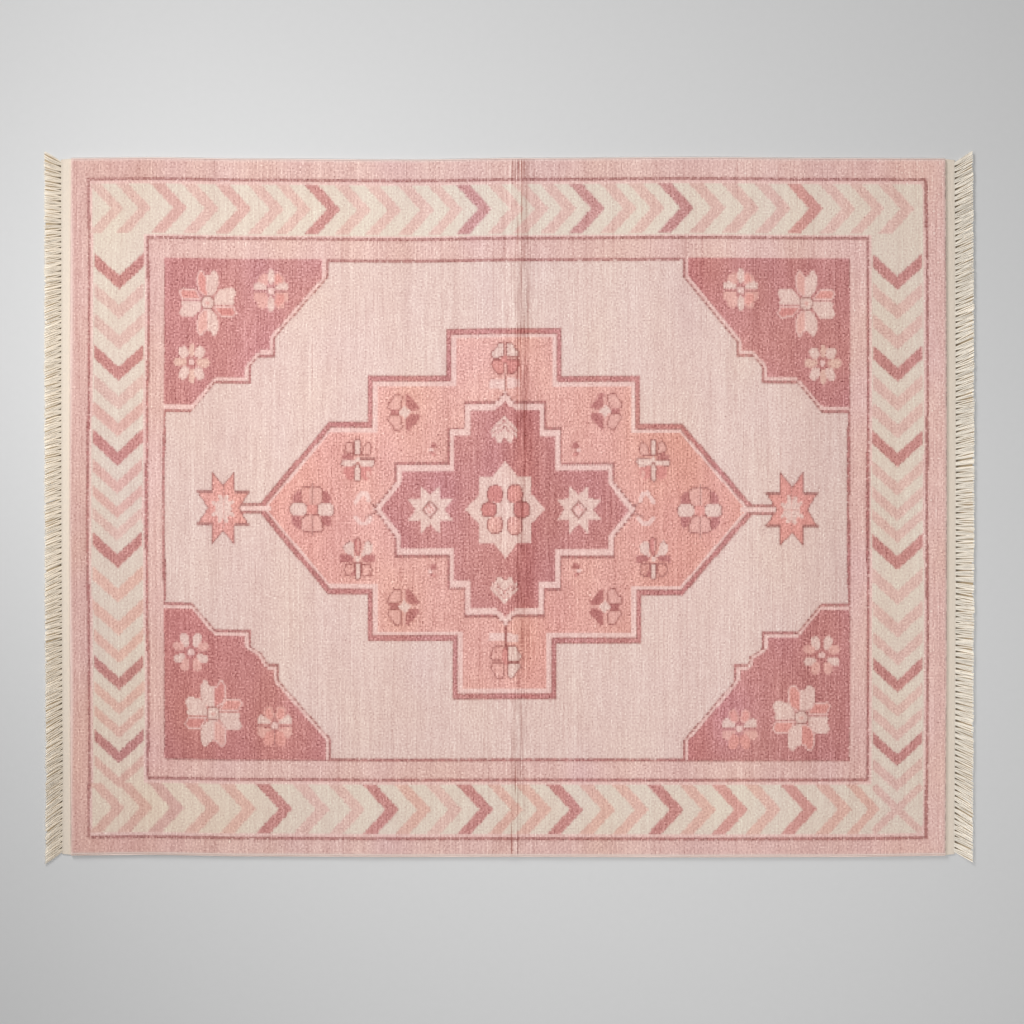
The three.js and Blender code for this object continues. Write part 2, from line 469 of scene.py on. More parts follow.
class Chart:
    """The knot chart: one yarn for every knot of the pile.

    Near the short ends the design bends along the warps by a cosine of the place across the rug.
    """

    BEND_START = 1000.0
    BEND_REACH = 250.0
    BEND = 2.0
    BEND_TILT = 1450.0
    BEND_WAVE = 1290.0
    RAGGED = (2.4, 2.8)
    KEPT = 0.8
    MOTIF_REACH = 180.0

    def __init__(self) -> None:
        """Starts with the outer band's yarn everywhere."""
        self.us, self.vs = GRID.centres()
        self.u, self.v = np.meshgrid(self.us, self.vs, indexing="ij")
        near_end = smoothstep((np.abs(self.u) - self.BEND_START) / self.BEND_REACH)
        bend = near_end * (self.BEND - self.u / self.BEND_TILT)
        self.u = self.u + bend * np.cos(2 * math.pi * self.v / self.BEND_WAVE)
        self.yarn = np.full(self.u.shape, int(Yarn.PINK), np.int16)
        self.ragged = np.random.default_rng(SEED).uniform(-1, 1, self.u.shape)
        self.row, self.column = np.indices(self.u.shape)

    def fill(self, mask: Array, yarn: Yarn) -> None:
        """Knots a region of the whole chart in one yarn."""
        self.yarn[mask] = yarn

    def region(self, shape: Shape) -> Array:
        """The part of the whole chart that a shape covers."""
        return shape.mask(self.u, self.v)

    def inside(self, rails: Rails, inset: float = 0.0) -> Array:
        """Region inside a frame, drawn in by an inset."""
        level = (self.v > rails.front + inset) & (self.v < rails.back - inset)
        return level & (self.u > rails.left + inset) & (self.u < rails.right - inset)

    def dark(self, mask: Array, share: float = 0.5) -> None:
        """Knots a dark line: a share of its knots, picked at random, in umber and the rest in guard rose."""
        self.fill(mask, Yarn.GUARD)
        self.fill(mask & (self.ragged < 2 * share - 1), Yarn.UMBER)

    def pipe(self, within: Array, places: str, widths: Triple, yarn: Yarn | None = None) -> None:
        """Knots a line along a path.

        Args:
            within: The region it stays in.
            places: The path.
            widths: Half its width where it is upright, level and slanting.
            yarn: Its yarn, or none for a dark line.
        """
        near = within & self.region(Piping(places, *widths))
        if yarn is None:
            self.dark(near)
        else:
            self.fill(near, yarn)

    def rule(self, rails: Rails, upright: float, level: float) -> None:
        """Knots a dark, slightly ragged line along a frame, half its width given where upright and level."""
        near = self.region(Piping(rails.path(), upright, level, 0))
        core = self.region(Piping(rails.path(), upright - self.RAGGED[0], level - self.RAGGED[1], 0))
        self.dark(core | (near & (self.ragged < self.KEPT)))

    def motif(self, motif: Motif, places: str) -> None:
        """Knots a motif's marks in order at each of some places.

        Args:
            motif: The motif's shapes and yarns.
            places: Centres written as "u,v", with -1 after it where it is mirrored along the rug, and 1,-1
                where it is mirrored across it.
        """
        for word in places.split():
            u0, v0, flip_u, flip_v = (*map(float, word.split(",")), 1, 1)[:4]
            reach = np.array([-self.MOTIF_REACH, self.MOTIF_REACH])
            at = (slice(*np.searchsorted(self.us, u0 + reach)), slice(*np.searchsorted(self.vs, v0 + reach)))
            here = self.yarn[at]
            for mark in motif:
                mask = mark.shape.mask((self.u[at] - u0) * flip_u, (self.v[at] - v0) * flip_v)
                here[mask] = mark.yarn
                if mark.edge is not None:
                    here[mask & ~shrunk(mask)] = mark.edge


@dataclass(frozen=True)
class Chevrons:
    """One row of chevrons in the border: its middle line and its apexes with their yarns.

    An apex is written as its place, a letter for its yarn (d, f, m, l or p) and the stroke's width if it is
    unusual. A stroke's leading edge falls back from its apex by the slope times the distance beside it.
    """

    middle: float
    apexes: str
    upright: bool = False
    half_span: float = 87.0
    stroke: float = 49.0
    slope: float = 0.92
    fray: float = 1.5

    def draw(self, chart: Chart) -> None:
        """Knots the row."""
        yarns = dict(zip("dfmlp", (Yarn.DARK, Yarn.FADED, Yarn.MID, Yarn.LIGHT, Yarn.PEACH)))
        along, beside = (-chart.v, chart.u) if self.upright else (chart.u, chart.v)
        away = np.abs(beside - self.middle)
        for word in self.apexes.split():
            letter = word.strip("-0123456789")
            place, width = word.split(letter)
            apex = float(place) * (-1 if self.upright else 1)
            edge = along - apex + self.slope * away + self.fray * chart.ragged
            stroke = (edge < 0) & (edge > -float(width or self.stroke))
            chart.fill(stroke & (away < self.half_span), yarns[letter])


@dataclass(frozen=True)
class Borders:
    """The pink bands, guard lines and the cream border with its rows of chevrons.

    The places and widths of the chevrons are those that a measuring script found in the photograph.
    """

    outer: Rails = Rails(-1460.7, 1457.1, 1143.2, -1153.0)
    inner: Rails = Rails(-1255.8, 1250.6, 937.3, -950.5)
    field_edge: Rails = Rails(-1195.5, 1184.0, 864.8, -880.7)
    pale_inset: float = 13.0
    line_half: Point = (4.8, 5.6)
    crossing: Motif = marks("line light 26 -75,-72 75,72; line light 26 -75,72 75,-72")
    back_row: Chevrons = Chevrons(
        1042,
        "-1340l44 -1244l44 -1118m -1008l -894m -782l -688l44 -584d -478l -372l -258l -158l44 -56d 54l 142l "
        "238l 338d 448l 546l 648d 758l 876l54 986l 1098f 1212l 1312l44 1416l",
    )
    front_row: Chevrons = Chevrons(
        -1053,
        "-1336p44 -1238p44 -1128m -1004p -878p -752d -622l -498l -380d -268p -160l -52d 52p44 152p 262d 374p "
        "490p 612d 724p 836f 952p 1076f 1198p 1296p40",
    )
    left_column: Chevrons = Chevrons(
        -1357,
        "758d 654l 548l 438d 336l 242m 142d 44m44 -42m40 -120l40 -216d -336p -452p -548p42 -642d44 -728p40 "
        "-810p38 -898d42 -984p38",
        upright=True,
    )
    right_column: Chevrons = Chevrons(
        1354,
        "758d 656l 550l 438d 336l 240l 140d 40l44 -48l42 -124l40 -220d -340l -454l -552l42 -646d44 -732l40 "
        "-816l38 -904d42 -992l40",
        upright=True,
    )

    def draw(self, chart: Chart) -> None:
        """Knots the borders from the outside in."""
        chart.fill(chart.inside(self.outer), Yarn.PALE)
        chart.fill(chart.inside(self.outer, self.pale_inset), Yarn.CREAM)
        chart.fill(chart.inside(self.inner, -self.pale_inset), Yarn.PALE)
        chart.fill(chart.inside(self.inner), Yarn.PINK)
        chart.fill(chart.inside(self.field_edge), Yarn.BLUSH)
        for row in (self.back_row, self.front_row, self.left_column, self.right_column):
            row.draw(chart)
        chart.motif(self.crossing, "1356,-1053")
        for rails in (self.outer, self.inner, self.field_edge):
            chart.rule(rails, *self.line_half)


@dataclass(frozen=True)
class Corner:
    """A stepped corner piece: its path from the field's back or front edge to its left or right one."""

    places: str
    corner: str

    def draw(self, chart: Chart) -> None:
        """Knots the corner piece's ground, its pale line and its dark line, beaded where it slants."""
        whole = chart.region(Outline(f"{self.places} {self.corner}"))
        chart.fill(whole, Yarn.ROSE)
        chart.pipe(whole, self.places, (19.5, 22.5, 15), Yarn.PALE)
        chart.pipe(whole, self.places, (0, 0, 5.5), Yarn.MID)
        chart.pipe(whole, self.places, (8.8, 10.8, 0))
        chart.pipe(whole & (chart.column % 3 != 0), self.places, (0, 0, 6), Yarn.DEEP)


CORNERS = (
    Corner(
        "-628,867 -628,803 -810,594 -810,526 -866,526 -896,493 -896,431 -1020,431 -1101,331 -1198,331",
        "-1198,867",
    ),
    Corner("608,867 608,804 792,577 792,525 849,525 881,491 881,430 1007,430 1091,330 1187,330", "1187,867"),
    Corner(
        "-1198,-334 -1101,-334 -1021,-426 -896,-426 -896,-484 -858,-507 -838,-543 -798,-543 -798,-603 "
        "-616,-809 -616,-882",
        "-1198,-882",
    ),
    Corner(
        "1187,-333 1087,-333 1009,-430 883,-430 883,-491 840,-519 834,-546 785,-546 785,-606 607,-813 "
        "607,-882",
        "1187,-882",
    ),
)

PETAL_UPRIGHT = "0,20 14,24 30,40 36,60 37,94 27,115 19,115 9,98 0,94"
PETAL_LEVEL = "22,10 26,22 46,48 88,51 102,36 88,10"
PETAL_LEVEL_WIDE = "20,-6 24,22 48,50 88,52 100,38 89,14 95,0 84,-6"


def paired_flower(petals: str, wide: float = 1.0, tall: float = 1.0) -> Motif:
    """A large flower of eight long petals in pairs along its four axes.

    Args:
        petals: Eight letters, clockwise from the left one of the back pair: i for ivory, c for salmon, d for
            brick and s for shell, the last three with a pale edge.
        wide: Width of its upright petals.
        tall: Height of its level petals.

    Returns:
        Its marks round its centre.
    """
    yarns = {"c": (Yarn.SALMON, Yarn.PALE), "d": (Yarn.BRICK, Yarn.PALE), "s": (Yarn.SHELL, Yarn.PALE)}
    turns = ((-wide, 1), (wide, 1), (1, 1), (1, -1), (wide, -1), (-wide, -1), (-1, -1), (-1, 1))
    made = []
    for k, (letter, (along, across)) in enumerate(zip(petals, turns)):
        level = PETAL_LEVEL_WIDE if letter == "i" else PETAL_LEVEL
        shape = flipped(level, along, across * tall) if k % 4 > 1 else flipped(PETAL_UPRIGHT, along, across)
        made.append(Mark(Outline(shape), *yarns.get(letter, (Yarn.IVORY, None))))
    ring = marks("oval ivory+umber 0 0 24 25; oval shell 0 0 7 7")
    return (*sorted(made, key=lambda mark: mark.yarn == Yarn.IVORY), *ring)


def pendant_star(ground: str) -> Motif:
    """A tall star of eight points with a dark edge and a pale rosette, on a ground of one yarn."""
    return marks(
        f"""
    area {ground}+deep 41,132 41,62 94,62 56,0 92,-62 41,-62 41,-130 0,-82 -41,-130 -41,-62 -94,-62 -54,0
      -94,62 -41,62 -41,132 0,80;
    line umber 9 -90,57 -41,57;
    line umber 9 41,57 90,57;
    line umber 9 -90,-57 -41,-57;
    line umber 9 41,-57 90,-57;
    line umber 4.6/10 0,78 0,-70;
    oval ivory 0 -2 28 32;
    line ivory 14 -10,42 10,-46;
    line ivory 14 13,38 -13,-42;
    line ivory 13 -34,18 34,-24;
    line ivory 13 32,22 -34,-24;
    line shell 4.6/9 0,30 0,-30;
    line shell 4.6/9 -26,-2 26,-2
    """
    )


SPLIT_FLOWER = marks(
    """
    areas shell 12,22 12,56 24,63 43,50 47,32 34,24;
    areas shell 14,-8 58,-8 62,-28 48,-39 44,-58 24,-64 12,-50;
    areas ivory 16,4 58,5 61,24 44,31 18,20;
    area salmon 14,26 16,54 24,58 36,48 38,34;
    area salmon 18,-14 44,-14 44,-40 24,-54 16,-44;
    oval ivory 0 50 10 27;
    oval ivory 0 -46 10 27;
    line guard 5.6 -58,-1 58,-1;
    oval pale+guard 0 0 15 16
    """
)
DAISY = marks(
    """
    oval peach 2 42 9 23;
    oval peach 2 -50 10 26;
    oval peach -40 -1 23 15;
    oval peach 42 -2 23 16;
    oval ivory -28 34 17 20 25;
    oval ivory 29 34 17 20 -25;
    oval ivory -26 -38 16 23 -25;
    oval ivory 27 -39 16 23 25;
    line guard 4.6/11 -36,12 36,-14;
    line guard 4.6/11 -36,-14 36,14;
    oval pale+guard 0 0 15 16
    """
)
WHEEL_FLOWER = marks(
    """
    ovals ivory 21 42 15 24 -12;
    ovals shell 43 20 20 15 15;
    ovals ivory 40 -22 21 15 -15;
    ovals shell 21 -45 15 22 12;
    line guard 5.2 -58,1 58,1;
    line guard 4.6 0,-60 0,52;
    oval pale+guard 0 0 15 16
    """
)
FAN_FLOWER = marks(
    """
    ovals salmon+shell 20 42 16 24 -10;
    areas ivory 12,6 58,4 61,24 46,40 34,28 18,18;
    areas shell 10,-8 60,-6 62,-30 46,-42 26,-34;
    ovals salmon 20 -46 17 26 12;
    line guard 5.2 -58,-1 58,-1;
    line guard 4.6 0,-64 0,60;
    oval pale+guard 0 0 15 16
    """
)
CLOVER = marks(
    """
    area shell+deep -7,56 -18,64 -37,64 -45,46 -59,34 -62,14 -50,7 -21,7 -10,20;
    area shell+deep -7,-54 -18,-64 -34,-65 -45,-48 -50,-38 -62,-24 -52,-7 -21,-7 -10,-20;
    area guard -18,9 -52,9 -48,-8 -18,-8;
    area guard 4,62 17,63 29,47 41,32 53,20 50,8 20,7 5,22;
    area guard 4,-62 14,-66 23,-52 40,-38 53,-22 49,-4 16,-8 5,-22;
    line shell 6 0,24 0,58;
    line shell 6 0,-24 0,-58;
    line shell 6 20,1 52,1;
    area ivory -23,0 -10,12 -2,26 9,12 22,1 10,-10 0,-23 -10,-11
    """
)
CROSS_FLOWER = marks(
    """
    area shell+deep -12,16 -14,56 -28,66 -42,60 -48,28 -30,20;
    area shell+deep 12,14 18,44 30,62 42,64 50,46 50,24 40,12;
    area guard -12,0 -54,0 -54,18 -30,22 -12,10;
    line umber 6 12,5 58,5;
    area brick -8,-22 -46,-24 -48,-48 -38,-66 -22,-73 -10,-62;
    area brick 8,-22 46,-24 50,-48 38,-66 27,-73 12,-60;
    oval shell 37 -50 7 12;
    area ivory+deep -9,-1 -58,-1 -61,-16 -52,-24 -9,-22;
    area ivory -7,-2 -54,-2 -56,-14 -50,-22 -7,-20;
    area ivory+deep 9,1 60,2 63,-10 50,-27 9,-20;
    area ivory 7,0 56,0 58,-9 48,-26 7,-20;
    area ivory+deep -12,12 -12,68 -6,74 6,74 12,68 12,12;
    area ivory+deep -6,-10 -13,-32 -12,-72 0,-80 12,-72 12,-32 6,-10;
    oval ivory 0 1 8 9
    """
)
DARK_CROSS_FLOWER = marks(
    """
    area ivory -12,4 -24,8 -46,24 -50,44 -38,56 -26,62 -16,50 -14,24;
    area ivory 8,8 20,34 24,54 36,64 50,50 51,28 38,12 14,5;
    line umber 5/9 -50,40 -38,56 -26,63;
    line umber 5/9 22,54 35,63 48,50;
    area guard -12,3 -26,13 -62,13 -61,-15 -22,-11;
    area guard 12,3 26,14 60,14 60,-13 22,-11;
    area coral+deep -12,-14 -44,-17 -50,-40 -43,-60 -26,-64 -12,-58;
    area coral+deep 12,-14 44,-17 51,-40 45,-60 20,-64 12,-50;
    area guard -10,-34 -24,-50 -22,-62 -10,-62;
    area brick+deep -2,4 -15,38 -15,64 -4,76 8,72 12,48 5,4;
    line shell 4.5 2,30 2,66;
    area ivory+deep -10,-14 -11,-70 0,-76 11,-70 10,-14;
    oval ivory 0 -1 9 9
    """
)
ROUND_FLOWER = marks(
    """
    area guard -36,68 -50,66 -66,48 -66,22 -36,20;
    area guard 38,66 54,66 69,44 68,22 34,20;
    area guard -38,-22 -68,-22 -68,-46 -56,-62 -42,-70 -36,-56;
    area guard 32,-20 68,-20 69,-44 58,-62 42,-52;
    area coral+deep -2,12 -22,12 -38,24 -40,70 -26,81 -2,81;
    area shell+deep 2,12 22,14 38,24 41,70 28,81 2,81;
    area shell+deep -2,-14 -20,-16 -38,-34 -41,-66 -28,-81 -2,-81;
    area shell+deep 2,-14 22,-18 36,-34 44,-70 34,-79 2,-79;
    line shell 12 0,-76 0,76;
    line umber 4.6 1,-92 1,92;
    oval ivory+deep -47 1 31 24 0 3;
    oval ivory -45 1 28 22 0 3;
    oval ivory+deep 49 0 31 23 0 3;
    oval ivory 49 0 28 22 0 3;
    oval salmon 1 0 19 18
    """
)
STALK_FLOWER_BACK = marks(
    """
    area pale -4,-70 -54,-74 -54,-102 -4,-108;
    area pale 4,-66 50,-70 50,-98 4,-106;
    line umber 4.8 -2,-112 -2,-54;
    area ivory+deep -2,58 -24,58 -35,38 -52,24 -52,4 -38,0 -2,4;
    area ivory+deep 2,58 21,58 35,38 50,22 50,3 2,3;
    area salmon+deep -2,-2 -42,-1 -52,-20 -42,-38 -27,-54 -10,-56 -2,-40;
    area brick+deep 2,-2 48,-2 53,-20 37,-45 20,-58 6,-54;
    area brick -20,-6 0,12 8,4 2,-14
    """
)
STALK_FLOWER_FRONT = marks(
    """
    area pale -4,72 -60,72 -58,98 -4,100;
    area pale 4,66 44,66 46,96 4,98;
    line deep 4.8 0,40 0,124;
    area coral+deep -6,52 -18,59 -40,54 -52,32 -57,14 -46,1 -8,1;
    area coral+deep -4,-1 -46,-1 -56,-18 -43,-40 -29,-61 -12,-62 -2,-42;
    area brick -8,48 8,40 12,6 2,-14 -14,4;
    area ivory+deep 4,58 33,58 46,38 57,20 50,-1 4,-1;
    area ivory+deep 4,0 48,0 57,-20 38,-38 30,-57 16,-61 3,-50
    """
)
CREAM_STAR = marks(
    """
    area ivory 34,82 34,37 79,36 50,0 78,-37 34,-37 34,-86 0,-50 -34,-86 -34,-37 -77,-37 -49,0 -78,36
      -34,37 -34,82 0,52;
    area umber 0,34 30,0 0,-34 -30,0;
    area pale 0,25 22,0 0,-25 -22,0;
    line brick 6/10 -15,7 4,-15;
    line brick 6/10 -5,16 12,-4
    """
)
CENTRE_FLOWER = marks(
    """
    area ivory -92,116 -42,116 0,168 42,116 91,116 91,52 138,0 91,-50 91,-116 42,-116 0,-171 -42,-116
      -92,-116 -92,-50 -140,0 -92,50;
    oval brick+deep -36 52 28 33;
    oval brick -35 53 25 31;
    oval salmon+deep 33 53 28 35;
    oval coral+deep -36 -53 28 34;
    oval coral+deep 33 -56 27 35;
    line ivory 5 -62,26 -10,18 10,18 62,26;
    line ivory 5 -62,-28 -10,-20 10,-20 62,-28;
    oval brick+deep -57 -1 28 28;
    oval brick+deep 57 -1 30 31;
    oval ivory 0 0 28 27;
    line ivory 7 0,20 0,96;
    line ivory 7 0,-20 0,-96
    """
)
ARROW = marks(
    """
    area ivory -3,51 45,0 41,-26 28,-24 22,-42 12,-41 -3,-27 -15,-44 -28,-44 -32,-26 -46,-28 -51,-2;
    line rose 8.6/9.6 -50,-18 -3,32 44,-16;
    line rose 8.6/9.6 -38,-24 -3,12 32,-22
    """
)
BUD = marks(
    """
    oval guard 1 14 10 8;
    oval guard 1 7 15 5;
    oval pale -10 -4 8 5;
    oval shell 10 -3 7 5;
    oval guard -6 -14 8 6;
    oval brick 3 -20 6 5;
    oval shell -12 -24 5 5
    """
)
HOOKS = marks(
    """
    line pale 15 -18,30 -12,52 6,56 18,38 28,22;
    line pale 15 -26,-32 -8,-52 10,-52 28,-32;
    line umber 5 -44,16 -38,8 -26,20;
    line umber 5 -44,-12 -36,-16 -8,-27
    """
)


@dataclass(frozen=True)
class Medallion:
    """The stepped centre medallion, its inner panel and the stems to its pendants.

    Its lines run inside its edge, each with half its width upright, level and slanting, and its yarn, none
    if it is dark.
    """

    back: str = (
        "-865,12 -625,301 -489,301 -489,462 -216,462 -216,628 186,628 186,459 460,459 460,294 603,294 850,7"
    )
    front: str = (
        "852,-22 605,-310 463,-310 463,-473 167,-473 167,-668 -193,-668 -193,-466 -489,-466 -489,-303 "
        "-627,-303 -866,-18"
    )
    panel: str = (
        "-11,408 20,370 131,370 131,281 187,281 187,158 370,158 370,90 448,-10 371,-104 371,-176 187,-176 "
        "187,-289 129,-289 129,-383 20,-383 -10,-417 -41,-382 -155,-382 -155,-287 -211,-287 -211,-172 "
        "-396,-172 -396,-101 -471,-2 -395,93 -395,161 -211,161 -211,283 -155,283 -155,371 -42,371 -11,408"
    )
    stems: tuple[tuple[str, str], ...] = (
        ("-857,-3 -940,-3", "-826,-3 -940,-3"),
        ("838,-8 926,-8", "806,-8 926,-8"),
    )
    lines: tuple[tuple[Colour, Yarn | None], ...] = (
        ((33.5, 37, 28), Yarn.PALE),
        ((17.6, 21.6, 19.8), None),
        ((13.2, 16.2, 14), Yarn.ROSE),
        ((4.4, 5.4, 6.0), None),
    )

    def draw(self, chart: Chart) -> None:
        """Knots the medallion from its ground up, then the stems, stars and flowers."""
        sides = (self.back, self.front)
        whole = chart.region(Outline(" ".join(sides)))
        chart.fill(whole, Yarn.CORAL)
        for widths, yarn in self.lines:
            for side in sides:
                chart.pipe(whole, side, widths, yarn)
        panel = chart.region(Outline(self.panel))
        chart.fill(panel, Yarn.ROSE)
        chart.pipe(panel, self.panel, (23, 31, 22), Yarn.PALE)
        chart.pipe(panel & ((chart.row + chart.column) % 2 == 0), self.panel, (6.6, 10, 0))
        chart.pipe(panel, self.panel, (6.6, 9, 0))
        chart.pipe(panel & (chart.column % 3 < 2), self.panel, (0, 0, 6.2), Yarn.DEEP)
        for dark, pale in self.stems:
            chart.dark(chart.region(Piping(dark, 0, 18, 0)), 0.7)
            chart.fill(chart.region(Piping(pale, 0, 10, 0)), Yarn.PALE)


PLACED = (
    (paired_flower("ciidisic"), "-1047,713"),
    (paired_flower("siciisdi"), "1037,711"),
    (paired_flower("idcisidi", 1.25, 1.09), "-1027,-722"),
    (paired_flower("cicicici", 1.3, 1.1), "1020,-733"),
    (SPLIT_FLOWER, "-826,756 809,756"),
    (DAISY, "-1103,505 1093,504"),
    (WHEEL_FLOWER, "-1105,-508 1090,-515"),
    (FAN_FLOWER, "-813,-762 805,-770"),
    (CENTRE_FLOWER, "-10,-6"),
    (CREAM_STAR, "-272,-4 245,-7"),
    (ARROW, "-11,270 -11,-285,1,-1"),
    (pendant_star("coral"), "-991,-3"),
    (pendant_star("salmon"), "986,-7"),
    (CLOVER, "-360,335 -361,-344 337,335,-1 336,-347,-1"),
    (CROSS_FLOWER, "-524,169 505,166,-1"),
    (DARK_CROSS_FLOWER, "-523,-177 505,-179"),
    (ROUND_FLOWER, "-684,-6 667,-12,-1"),
    (STALK_FLOWER_BACK, "-10,519"),
    (STALK_FLOWER_FRONT, "-9,-537"),
    (BUD, "-260,207 -261,-216 235,204,-1 236,-216,-1"),
    (HOOKS, "-503,-2,-1 478,-6"),
)


def knot_chart() -> Chart:
    """Draws the whole design and returns its chart."""
    chart = Chart()
    for part in (Borders(), *CORNERS, Medallion()):
        part.draw(chart)
    for motif, places in PLACED:
        chart.motif(motif, places)
    return chart


def grained(values: Array, middle: float, spread: float) -> Array:
    """Keeps the part of some noise whose waves along both axes have about one length.

    Args:
        values: A two-way array of noise.
        middle: Waves a step that are kept whole.
        spread: How far from that the waves fade, along a bell curve.

    Returns:
        The filtered array, with mean 0 and standard deviation 1.
    """
    waves = np.hypot(np.fft.fftfreq(values.shape[0])[:, None], np.fft.rfftfreq(values.shape[1])[None, :])
    out = np.fft.irfft2(np.fft.rfft2(values) * bell(waves, middle, spread), s=values.shape)
    return (out - out.mean()) / out.std()


@dataclass(frozen=True)
class Furrow:
    """A thin furrow of the storage fold, sunk into the pile and darkened with painted shade: its places at the
    back and front edge, and its strengths.

    The strengths are at the back, halfway and at the front.
    """

    back_u: float
    front_u: float
    strengths: Triple


@dataclass
class PileNoise:
    """The unevenness of the knots: flecks, streaks along their rows, drifts of hue, bands and the furrows."""

    furrows: tuple[Furrow, ...] = (
        Furrow(14.7, 11, (0.7, 0.0, 1.0)),
        Furrow(27, 20, (0.6, 0.2, 1.0)),
        Furrow(35.6, 31, (1.0, 0.7, 0.3)),
        Furrow(46, 42, (1.0, 0.7, 0.3)),
        Furrow(56.5, 53, (1.0, 0.5, 0.1)),
        Furrow(67, 62, (0.7, 0.3, 0.0)),
    )
    furrow_half_width: float = 2.3
    furrow_wander: float = 2.0
    furrow_fade: Triple = (0.6, 0.6, 1.4)
    clump_waves: Point = (0.40, 0.09)
    clump_share: float = 0.85
    speck: float = 3.5
    speck_share: float = 0.001
    streak_shares: Point = (0.6, 0.8)
    band_shares: Triple = (0.5, 0.6, 0.5)
    streak_blurs: Point = (2.5, 14)
    hue_blurs: Point = (12, 9)
    band_blurs: Point = (4, 22)
    drift_blurs: Point = (40, 10)
    furrow_blurs: Point = (18, 5)
    fleck: Array = field(init=False)
    streak: Array = field(init=False)
    hue: Array = field(init=False)
    bands: Array = field(init=False)
    furrow: Array = field(init=False)

    def __post_init__(self) -> None:
        """Draws the noises in a fixed order from the seed."""
        rng = np.random.default_rng(SEED)
        shape = (GRID.along, GRID.across)
        clumps = grained(rng.standard_normal(shape), *self.clump_waves)
        self.fleck = self.clump_share * (clumps + rng.standard_normal(shape))
        self.fleck -= self.speck * (rng.uniform(size=shape) > 1 - self.speck_share)
        short, long = (blurred(rng.standard_normal(shape), steps, 1) for steps in self.streak_blurs)
        self.streak = self.streak_shares[0] * short + self.streak_shares[1] * long
        self.hue = blurred(blurred(rng.standard_normal(shape), self.hue_blurs[0], 1), self.hue_blurs[1], 0)
        parts = [blurred(rng.standard_normal(GRID.along), steps, 0)[:, None] for steps in self.band_blurs]
        across, along = self.drift_blurs
        parts.append(blurred(blurred(rng.standard_normal(shape), across, 1), along, 0))
        self.bands = sum(share * part for share, part in zip(self.band_shares, parts))
        self.furrow = self.furrow_depth(*np.meshgrid(*GRID.centres(), indexing="ij"), rng)

    def furrow_depth(self, u: Array, v: Array, rng: np.random.Generator) -> Array:
        """Strength of the furrows: each a bell across its wandering line, fading unevenly along it."""
        across = (v + FORM.pile_width / 2) / FORM.pile_width
        base, spread, most = self.furrow_fade
        depth = np.zeros_like(u)
        for line in self.furrows:
            wander, fade = (blurred(rng.standard_normal(u.shape[1]), steps, 0) for steps in self.furrow_blurs)
            middle = line.front_u + (line.back_u - line.front_u) * across + self.furrow_wander * wander
            strength = np.interp(across, (0, 0.5, 1), line.strengths[::-1])
            near = bell(u, middle, self.furrow_half_width)
            depth = np.maximum(depth, near * strength * np.clip(base + spread * fade, 0, most))
        return depth


def dye_lots_and_painted_shade(text: str) -> list[tuple[Yarn, Point, Point, Array]]:
    """Reads patches in which one yarn's colour is scaled: dye lots, and painted shade along the fold.

    Args:
        text: One patch a line: its yarn, its middle, its reach along and across, and its factors for red,
            green and blue.

    Returns:
        The patches.
    """
    made = []
    for line in text.strip().splitlines():
        name, middle, reach, tone = line.split()
        made.append((Yarn[name.upper()], *path(f"{middle} {reach}"), np.array(tone.split(","), float)))
    return made


# Chosen from measured ratios of the photograph's colours to the scene's own
# The rose and coral patches at u 60 darken the line of the storage fold: painted shade, not dye.
DYE_LOTS_AND_PAINTED_SHADE = dye_lots_and_painted_shade(
    """
    pink -1420,0 190,1e4 0.93,0.87,0.865
    pink 1380,0 200,1e4 1.06,1.045,1.05
    rose 60,0 42,1e4 0.93,0.8,0.8
    rose 640,0 90,1e4 0.98,0.9,0.9
    rose -200,0 200,1e4 1.05,1.11,1.12
    rose 230,-350 110,450 1.05,1.1,1.11
    rose 390,350 120,350 0.96,0.94,0.92
    rose -800,1000 260,400 1.03,1.13,1.14
    rose -1150,-450 200,450 0.96,0.87,0.84
    rose -900,-1000 350,350 0.97,0.9,0.87
    rose 880,-380 200,300 0.96,0.93,0.92
    blush -1100,300 320,900 0.955,0.95,0.945
    blush 1150,-250 170,900 0.955,0.95,0.95
    pink -1170,0 90,800 0.95,0.925,0.93
    pink 880,-1100 150,300 0.96,0.92,0.94
    pink -1330,-1000 300,420 1.08,1.03,1.01
    cream -1250,-1050 380,380 1.06,1.02,0.98
    light -1400,400 130,700 0.94,0.95,0.96
    light 760,1040 260,200 0.96,0.94,0.94
    cream -1350,0 160,700 0.955,0.935,0.955
    coral 600,0 220,1e4 0.93,0.83,0.8
    coral 900,0 130,1e4 0.95,0.82,0.8
    coral -991,0 110,150 0.98,0.93,0.92
    coral 130,-500 130,300 1,0.93,0.92
    coral -130,500 130,300 1.03,1.07,1.07
    rose 890,900 170,260 0.93,0.9,0.89
    rose 860,-900 170,260 0.94,0.93,0.94
    rose -1130,400 130,240 0.94,0.93,0.94
    dark 635,1042 130,200 0.92,0.88,0.89
    dark -1350,0 130,1e4 0.94,0.92,0.92
    guard -900,950 400,350 1.03,1.12,1.13
    guard -900,-950 400,350 1.03,1.12,1.13
    guard 250,-350 260,420 0.92,0.86,0.85
    guard 1457,0 60,900 0.9,0.96,0.94
    guard -1460,-200 60,900 0.93,0.92,0.91
    coral -850,0 260,1e4 0.98,0.89,0.88
    coral 60,0 30,1e4 0.97,0.93,0.93
    dark 100,1000 750,350 1.04,1.18,1.22
    guard 0,1100 1e4,350 1,1.17,1.17
    guard 0,-1100 1e4,350 1,1.06,1.04
    """
)


